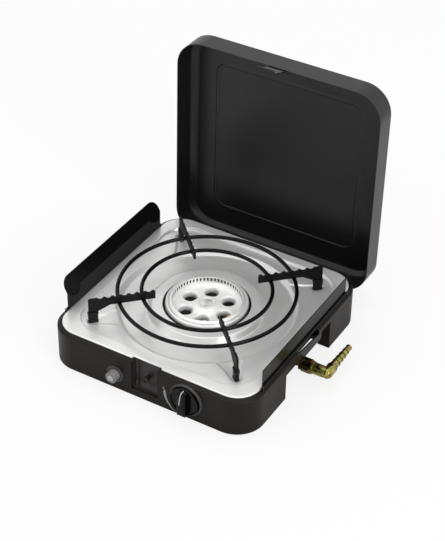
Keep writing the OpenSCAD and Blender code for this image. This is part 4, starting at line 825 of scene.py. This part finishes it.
@dataclass
class BurnerRing:
    """Pressed ring on the burner: rolled outer lip, crowned top and a row of flame slots."""

    middle: float = BOWL_Y
    outer: float = 56.6
    inner: float = 47.6
    wall: float = 1.2
    slotted_wall: float = 2.5
    bottom: float = 57.5
    skirt: float = 55.5
    top: float = 65.5
    slots: int = 60
    slot_width: float = 2.2
    slot_low: float = 59.4
    slot_high: float = 64.4

    def section(self) -> tuple[Line, int, int]:
        """Gives the closed section and where the slots break through it.

        Returns:
            The section's points, then the index of the first point of the band on the
            inner face and of the band on the hidden face behind it.
        """
        r, back = self.outer, self.inner + self.slotted_wall
        crown = rounded(
            [(r, self.bottom), (r, 61.0), (r - 1.0, 61.9), (r - 2.3, 62.1), (r - 2.9, 61.8),
             (r - 4.0, 63.9), (r - 6.2, 65.2), (r - 7.6, self.top), (self.inner, self.top),
             (self.inner, 64.6)], [0, 0.9, 0.6, 0.4, 0.3, 0.8, 1.2, 1, 0.7, 0], 3)
        first = len(crown)
        line = crown + [(self.inner, self.slot_high), (self.inner, self.slot_low),
                        (self.inner, self.skirt), (back, self.skirt)]
        second = len(line)
        line += [(back, self.slot_low), (back, self.slot_high), (back, self.top - 2.0),
                 (r - 6.8, self.top - 2.2), (r - 4.6, 61.6), (r - 2.6, 60.4),
                 (r - self.wall, 59.4), (r - self.wall, self.bottom)]
        return line, first, second

    def build(self) -> None:
        """Builds the ring in place of its CAD node."""
        line, first, second = self.section()
        half = math.degrees(self.slot_width / 2 / self.inner)
        period = 360 / self.slots
        land = period - 2 * half
        turns = [i * period + t for i in range(self.slots)
                 for t in (-half, half, half + land / 3, half + land * 2 / 3)]
        mesh = bmesh.new()
        columns = [[mesh.verts.new((radius * math.cos(math.radians(turn)),
                                    self.middle + radius * math.sin(math.radians(turn)), z))
                    for radius, z in line] for turn in turns]
        count = len(line)
        for k, column in enumerate(columns):
            after = columns[(k + 1) % len(columns)]
            slot = k % 4 == 0
            for i in range(count):
                if slot and i in (first, second):
                    continue
                j = (i + 1) % count
                band = mesh.faces.new((column[i], after[i], after[j], column[j]))
                # Bands inside the ring's hollow take the second material, painted shade.
                band.material_index = int(second <= i < count - 1)
            if slot:
                low, high = (first + 1, second), (first, second + 1)
                walls = [(side[low[0]], side[low[1]], side[high[1]], side[high[0]])
                         for side in (column, after)]
                walls += [(column[a], after[a], after[b], column[b]) for a, b in (low, high)]
                # The slot walls take the same painted shade.
                for wall in walls:
                    mesh.faces.new(wall).material_index = 1
        ring = put("burner_ring_slotted", mesh, BURNER_ALLOY, "base",
                   ("burner_ring",), crease=45)
        ring.data.materials.append(SLOT_SHADE_ALLOY.make())


@dataclass
class GrateTrim:
    """Weld beads where the two wire rings pass through the four stamped arms.

    bead holds a bead's radii: along the arm, across it and upwards.
    """

    middle: float = BOWL_Y
    wire_z: float = 81.5
    rings: tuple[float, float] = (88.2, 120.7)
    arm: float = 3.0
    bead: Point = (3.65, 1.3, 3.45)
    lumps: float = 0.12

    def build(self) -> None:
        """Builds one mesh of all the beads."""
        mesh = bmesh.new()
        for ring in self.rings:
            for quarter in range(4):
                for side in (-1, 1):
                    turn = math.radians(45 + 90 * quarter)
                    place = (Matrix.Translation((0, self.middle, 0))
                             @ Matrix.Rotation(turn, 4, "Z")
                             @ Matrix.Translation((ring, side * self.arm / 2, self.wire_z)))
                    found = bmesh.ops.create_icosphere(mesh, subdivisions=3, radius=1.0)
                    for vert in found["verts"]:
                        p = vert.co
                        wave = math.sin(5 * p.x + ring) * math.cos(4 * p.z + quarter)
                        lump = 1 + self.lumps * wave
                        vert.co = place @ Vector([r * c * lump for r, c in zip(self.bead, p)])
        put("grate_weld_beads", mesh, GRATE_ENAMEL, "base")


@dataclass
class FootCap:
    """Moulded rubber shoe on the foot of a grate arm: collar, bulged body and round sole."""

    angle: float
    node: str
    middle: float = BOWL_Y
    reach: float = 156.3
    seat_z: float = SEAT_Z
    length: float = 14.4
    width: float = 7.6
    height: float = 16.7
    leg: float = 11.0
    arm: float = 3.1
    parts: int = 48

    def loop(self, mesh: bmesh.types.BMesh, grow: float, z: float, power: float = 3.4,
             size: tuple[float, float] | None = None) -> list[bmesh.types.BMVert]:
        """Adds one rounded loop of the shoe.

        Args:
            mesh: Mesh that takes it.
            grow: How far it stands outside the nominal size, in millimetres.
            z: Its height above the seat.
            power: How square it is; 2 is an ellipse.
            size: Length and width, when they aren't the shoe's own.

        Returns:
            The loop's points.
        """
        length, width = size or (self.length, self.width)
        turn = Matrix.Rotation(math.radians(self.angle), 4, "Z")
        points = []
        for i in range(self.parts):
            angle = 2 * math.pi * i / self.parts
            cos, sin = math.cos(angle), math.sin(angle)
            x = (length / 2 + grow) * math.copysign(abs(cos) ** (2 / power), cos)
            y = (width / 2 + grow) * math.copysign(abs(sin) ** (2 / power), sin)
            spot = turn @ Vector((self.reach + x, y, 0))
            points.append(mesh.verts.new((spot.x, spot.y + self.middle, self.seat_z + z)))
        return points

    def build(self) -> None:
        """Builds the shoe in place of its CAD node."""
        h = self.height
        shape = ((-1.1, 0.0), (-0.3, 0.25), (0.0, 0.9), (0.05, 1.6), (-0.5, 2.1), (-0.55, 3.2),
                 (-0.3, h * 0.5), (-0.35, h - 4.6), (-0.2, h - 4.2), (0.1, h - 3.8),
                 (0.15, h - 1.2), (-0.1, h - 0.5), (-0.8, h - 0.1), (-1.2, h))
        mesh = bmesh.new()
        rings = [self.loop(mesh, grow, z) for grow, z in shape]
        rings += [self.loop(mesh, 0.0, z, power=12, size=(self.leg, self.arm))
                  for z in (h, 2.2)]
        join_rings(mesh, rings)
        mesh.faces.new(rings[0])
        mesh.faces.new(rings[-1])
        put(self.node + "_moulded", mesh, RUBBER, "base", (self.node,), crease=50)


@dataclass
class PocketTrim:
    """Latch pocket: a drawn lining with round corners, and the shoulder's curled ends.

    fillet rounds the way from the side walls to the back, and floor_fillet from the floor.
    """

    half: float = 20.0
    front_y: float = -157.2
    back_y: float = -146.0
    floor_z: float = 13.0
    top_z: float = 57.0
    gap: float = 0.15
    floor_corner: float = 6.0
    fillet: float = 2.6
    floor_fillet: float = 8.5
    above_corner: float = 8.0
    corner_parts: int = 12
    fillet_parts: int = 9
    curl_half: float = 20.6
    curl_front: Point = (0.0, -154.8, 55.9)
    curl_back: Point = (0.0, -150.9, 57.6)
    curl: float = 2.2

    def loop(self, mesh: bmesh.types.BMesh, turn: float) -> list[bmesh.types.BMVert]:
        """Adds one open U of the lining, from its upper left end to its upper right end.

        Args:
            mesh: Mesh that takes it.
            turn: Angle in the fillet that joins walls and back, or -1 for the front edge.

        Returns:
            The points of the U.
        """
        half, low, r = self.half - self.gap, self.floor_z + self.gap, self.floor_corner
        plain = low + r + self.above_corner
        line = [(-half, self.top_z, 1, 0.0), (-half, plain, 1, 0.0)]
        for cx, start in ((-half + r, math.pi), (half - r, 1.5 * math.pi)):
            for i in range(self.corner_parts + 1):
                a = start + math.pi / 2 * i / self.corner_parts
                line.append((cx + r * math.cos(a), low + r + r * math.sin(a),
                             -math.cos(a), -math.sin(a)))
        line += [(half, plain, -1, 0.0), (half, self.top_z, -1, 0.0)]
        points = []
        for x, z, nx, nz in line:
            fillet = self.fillet + (self.floor_fillet - self.fillet) * nz ** 2
            y, step = self.front_y, 0.0
            if turn >= 0:
                y = self.back_y - self.gap - fillet * (1 - math.sin(turn))
                step = fillet * (1 - math.cos(turn))
            points.append(mesh.verts.new((x + nx * step, y, z + nz * step)))
        return points

    def build_lining(self) -> None:
        """Builds the lining of the pocket."""
        mesh = bmesh.new()
        turns = [math.pi / 2 * i / self.fillet_parts for i in range(self.fillet_parts + 1)]
        loops = [self.loop(mesh, turn) for turn in [-1.0] + turns]
        for near, far in zip(loops, loops[1:]):
            for i in range(len(near) - 1):
                mesh.faces.new((near[i], near[i + 1], far[i + 1], far[i]))
        mesh.faces.new(loops[-1])
        # The lining's enamel is lightened as painted light in the pocket.
        put("latch_pocket_lining", mesh, POCKET_ENAMEL_PAINTED_LIGHT, "base", crease=50,
            facing=(0, -1, 0))

    def build_curls(self) -> None:
        """Builds the curled ends of the shoulder on both sides of the pocket."""
        mesh = bmesh.new()
        for side in (-1, 1):
            shift = Vector((side * self.curl_half, 0, 0))
            start, end = Vector(self.curl_front) + shift, Vector(self.curl_back) + shift
            way = (end - start).to_track_quat("Z", "Y").to_matrix().to_4x4()
            length, r = (end - start).length, self.curl
            low = [(r * math.cos(t), r * math.sin(t)) for t in (-1.2, -0.8, -0.4, 0.0)]
            high = [(r * math.cos(t), length + r * math.sin(t)) for t in (0, 0.4, 0.8, 1.2)]
            line = [(0.02, -r)] + low + high + [(0.02, length + r)]
            lathe(mesh, line, Matrix.Translation(start) @ way, 20)
        put("latch_pocket_curls", mesh, BODY_ENAMEL, "base", crease=60)

    def build(self) -> None:
        """Builds the lining and the curls."""
        self.build_lining()
        self.build_curls()


@dataclass
class GasInlet:
    """Bulkhead nut on the right side: chamfered hexagon with its washer face."""

    face: float = 152.0
    y: float = -8.0
    z: float = 23.0
    flats: float = 18.0
    length: float = 15.0
    bore: float = 2.5
    washer: float = 0.97
    chamfer: float = 1.1
    plate: float = 2.0
    stub: float = 4.98
    stub_length: float = 6.0

    def build(self) -> None:
        """Builds the nut in place of its CAD node."""
        corner = self.flats / math.sqrt(3)
        low, bore, end = self.flats / 2 * self.washer, self.bore, self.length
        back = -self.plate - self.stub_length
        place = (Matrix.Translation((self.face, self.y, self.z))
                 @ Matrix.Rotation(math.pi / 2, 4, "Y"))
        mesh = bmesh.new()
        lathe(mesh, [(bore, back), (self.stub, back), (self.stub, 0.02)], place, 48)
        lathe(mesh, [(bore, 0.02), (low, 0.02), (low + 0.2, 0.1), (corner, self.chamfer),
                     (corner, end - self.chamfer), (low + 0.2, end - 0.1),
                     (low, end - 0.02), (bore, end - 0.02)], place, 120, sides=6)
        # The nut's darker tint clouds are painted dark reflection.
        put("inlet_nut_chamfered", mesh, NUT_ZINC_PAINTED_REFLECTION, "base", ("inlet_nut",),
            crease=28)


@dataclass
class IgniterButton:
    """Push button of the igniter: barrel with a chamfered rim and a groove on its face."""

    x: float = -45.5
    z: float = 25.8
    wall_y: float = FRONT_Y
    radius: float = 8.0
    out: float = 11.6
    groove: float = 5.7
    barrel: float = 6.8
    inside: float = 5.5

    def build(self) -> None:
        """Builds the button in place of its CAD node."""
        r, out, groove = self.radius, self.out, self.groove
        line = rounded([(r, 0.4), (r, out - 0.8), (r - 0.8, out), (groove + 0.4, out),
                        (groove, out - 1.0), (groove - 0.6, out - 1.0),
                        (groove - 1.0, out - 0.3), (3.0, out - 0.25), (0.05, out - 0.25)],
                       [0, 0.5, 0.4, 0.2, 0.2, 0.2, 0.2, 0, 0], 3)
        place = (Matrix.Translation((self.x, self.wall_y, self.z))
                 @ Matrix.Rotation(math.pi / 2, 4, "X"))
        mesh = bmesh.new()
        lathe(mesh, [(self.barrel, -self.inside), (self.barrel, 0.4)] + line, place, 72)
        # The button's finish pales its sharp edges as a painted highlight.
        put("igniter_button_grooved", mesh, BUTTON_PLASTIC, "button",
            ("igniter_button",), crease=50)


@dataclass
class FrontPanel:
    """Printed marks of the gas knob on the front wall, and the pointer on its grip.

    Each of the flames has its middle's place, right of the knob's axis and above it, and
    its height.
    """

    wall_y: float = FRONT_Y
    knob_x: float = 64.0
    knob_z: float = 31.6
    knob_front: float = -165.5
    grip: float = 7.5
    disc: float = 21.4
    film: float = 0.06
    arc: float = 32.7
    arc_width: float = 4.3
    arc_start: float = 177.0
    arc_sweep: float = 67.0
    arc_parts: int = 32
    flames: tuple[Point, ...] = ((-34.4, 4.4, 3.4), (-2.6, 23.0, 2.6))
    flame_parts: int = 12
    pointer_half: float = 0.6
    grip_round: float = 5.1

    def ribbon(self, mesh: bmesh.types.BMesh, left: list[Point], right: list[Point]) -> None:
        """Fills a thin film between two lines of points.

        Args:
            mesh: Mesh that takes it.
            left: Points of one side, in millimetres.
            right: Points of the other side, one for each of the left.
        """
        a = [mesh.verts.new(p) for p in left]
        b = [mesh.verts.new(p) for p in right]
        for i in range(len(a) - 1):
            mesh.faces.new((a[i], a[i + 1], b[i + 1], b[i]))

    def build_scale(self) -> None:
        """Prints the tapered arc and the two small flame marks."""
        mesh = bmesh.new()
        y = self.wall_y - self.film
        left, right = [], []
        for i in range(self.arc_parts + 1):
            t = i / self.arc_parts
            turn = math.radians(self.arc_start + self.arc_sweep * t)
            half = self.arc_width / 2 * (1 - t) ** 0.8 * min(1.0, 0.35 + 6 * t) + 0.08
            for line, radius in ((left, self.arc + half), (right, self.arc - half)):
                line.append((self.knob_x + radius * math.cos(turn), y,
                             self.knob_z + radius * math.sin(turn)))
        self.ribbon(mesh, left, right)
        for x, z, tall in self.flames:
            left, right = [], []
            for i in range(self.flame_parts + 1):
                t = i / self.flame_parts
                half = tall * 0.34 * math.sin(math.pi * t ** 0.62) ** 0.8 + 0.02
                sway = 0.3 * math.sin(3 * t)
                for line, side in ((left, -1), (right, 1)):
                    line.append((self.knob_x + x + sway + side * half, y,
                                 self.knob_z + z + tall * (t - 0.5)))
            self.ribbon(mesh, left, right)
        put("knob_scale_print", mesh, INK, "base")

    def build_pointer(self) -> None:
        """Paints the pale pointer line over the knob's rim and down its grip."""
        mesh = bmesh.new()
        front, film, round_off = self.knob_front, self.grip + 0.1, self.grip_round
        top = self.disc - 1.7
        path = [(0.6, front - 0.1, self.disc - 0.5), (0.5, front - 0.1, top + 0.25),
                (0.4, front - 2.4, top + 0.12)]
        for i in range(1, 9):
            turn = math.pi / 2 * i / 8
            path.append((0.4 - 0.5 * i / 8, front - 2.5 - round_off * math.sin(turn),
                         top + 0.12 - round_off * (1 - math.cos(turn))))
        path += [(-1.0, front - film, 9), (-1.7, front - film, 4), (-1.9, front - film, 0.5)]
        self.ribbon(mesh, *([(self.knob_x + x + side * self.pointer_half, y, self.knob_z + z)
                             for x, y, z in path] for side in (-1, 1)))
        put("knob_pointer_line", mesh, POINTER_PAINT, "knob")

    def build(self) -> None:
        """Builds the printed marks."""
        self.build_scale()
        self.build_pointer()


# ---------- studio ----------

@dataclass
class Studio:
    """White room with a pale floor, soft lamps and the camera.

    Sizes are metres. floor_white is the share of plain white in what the camera sees of
    the floor, room the strength of the soft light all round, and lit the point that the
    lamps face.
    """

    floor_half: float = 6.0
    floor_drop: float = 0.0005
    floor_white: float = 0.82
    room: float = 0.72
    lit: Point = (0.0, 0.0, 0.08)
    position: Point = (0.8548, -1.4259, 1.3660)
    target: Point = (-0.01047, 0.05606, 0.0715)
    roll: float = 0.96
    lens: float = 103.78
    sensor: float = 36.0
    near: float = 0.05
    far: float = 60.0

    def floor(self) -> None:
        """Lays the pale floor, which keeps the stove's shadow."""
        mesh = bmesh.new()
        bmesh.ops.create_grid(mesh, x_segments=8, y_segments=8, size=self.floor_half)
        obj = enter_mesh("floor", mesh)
        obj.location.z = -self.floor_drop
        material = bpy.data.materials.new("Paper, matt white")
        material.use_nodes = True
        tree = material.node_tree
        tree.nodes.clear()
        paper = add(tree, "ShaderNodeBsdfDiffuse", {"Color": linear("#f2f2f2")})
        white = add(tree, "ShaderNodeEmission", {"Color": (1, 1, 1, 1), "Strength": 1.0})
        path = add(tree, "ShaderNodeLightPath")
        share = add(tree, "ShaderNodeMath", {0: path.outputs["Is Camera Ray"],
                                             1: self.floor_white}, operation="MULTIPLY")
        both = add(tree, "ShaderNodeMixShader", {0: share.outputs[0], 1: paper.outputs[0],
                                                 2: white.outputs[0]})
        add(tree, "ShaderNodeOutputMaterial", {"Surface": both.outputs[0]})
        obj.data.materials.append(material)

    def world(self) -> None:
        """Fills the room with plain soft light and shows it white."""
        world = bpy.data.worlds.new("room")
        bpy.context.scene.world = world
        world.use_nodes = True
        tree = world.node_tree
        tree.nodes.clear()
        path = add(tree, "ShaderNodeLightPath")
        seen = path.outputs["Is Camera Ray"]
        for ray in ("Is Glossy Ray", "Is Transmission Ray"):
            seen = add(tree, "ShaderNodeMath", {0: seen, 1: path.outputs[ray]},
                       operation="MAXIMUM").outputs[0]
        soft = add(tree, "ShaderNodeBackground", {"Color": (1, 1, 1, 1),
                                                  "Strength": self.room})
        white = add(tree, "ShaderNodeBackground", {"Color": (1, 1, 1, 1), "Strength": 1.0})
        both = add(tree, "ShaderNodeMixShader", {0: seen, 1: soft.outputs[0],
                                                 2: white.outputs[0]})
        add(tree, "ShaderNodeOutputWorld", {"Surface": both.outputs[0]})

    def lamp(self, name: str, place: Point, size: float, power: float) -> None:
        """Hangs a square soft lamp that faces the stove.

        Args:
            name: Name of the lamp.
            place: Its middle, in metres.
            size: Length of its side, in metres.
            power: Its output, in watts.
        """
        data = bpy.data.lights.new(name, "AREA")
        data.size = size
        data.energy = power
        obj = enter(name, data)
        obj.location = place
        aim = Vector(self.lit) - Vector(place)
        obj.rotation_euler = aim.to_track_quat("-Z", "Y").to_euler()

    def camera(self) -> None:
        """Sets the camera at its place."""
        data = bpy.data.cameras.new("camera")
        data.lens = self.lens
        data.sensor_width = self.sensor
        data.sensor_fit = "AUTO"
        data.clip_start = self.near
        data.clip_end = self.far
        obj = enter("camera", data)
        aim = Vector(self.target) - Vector(self.position)
        turn = aim.to_track_quat("-Z", "Y").to_matrix() @ Matrix.Rotation(
            math.radians(self.roll), 3, "Z")
        obj.matrix_world = Matrix.Translation(self.position) @ turn.to_4x4()
        bpy.context.scene.camera = obj

    def build(self) -> None:
        """Builds the whole studio."""
        self.floor()
        self.world()
        self.lamp("key lamp, right", (2.1, -0.9, 1.6), 1.2, 22.0)
        self.lamp("top lamp", (-0.2, 0.2, 2.6), 2.2, 15.0)
        self.lamp("fill lamp, left", (-2.0, -1.8, 1.8), 1.8, 5.0)
        self.camera()
        bpy.context.scene.view_settings.view_transform = "Standard"


def main() -> None:
    """Builds the studio and every piece, then dresses the CAD nodes."""
    logging.basicConfig(level=logging.INFO, format="%(name)s: %(message)s")
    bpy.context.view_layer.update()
    Studio().build()
    for finish, names in CAD_FINISHES.items():
        finish.dress(*(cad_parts[n] for n in names))
        LOG.info("%s: %s", finish.name, ", ".join(names))
    for part in (PressedTray(), BurnerRing(), BurnerDish(), GrateTrim(), PocketTrim(),
                 FootCap(225, "foot_cap_front_left"), FootCap(315, "foot_cap_front_right"),
                 FootCap(135, "foot_cap_back_left"), FootCap(45, "foot_cap_back_right"),
                 GasInlet(), IgniterButton(), FrontPanel()):
        part.build()
        LOG.info("%s built", type(part).__name__)
    soften(0.5, *CAD_FINISHES[ARM_ENAMEL])
    soften(0.9, "control_knob")
    soften(0.45, "lid_shell", "base_shell", "windshield_left", "windshield_right",
           "catch_hook", "lid_latch")


if __name__ == "__main__":
    main()
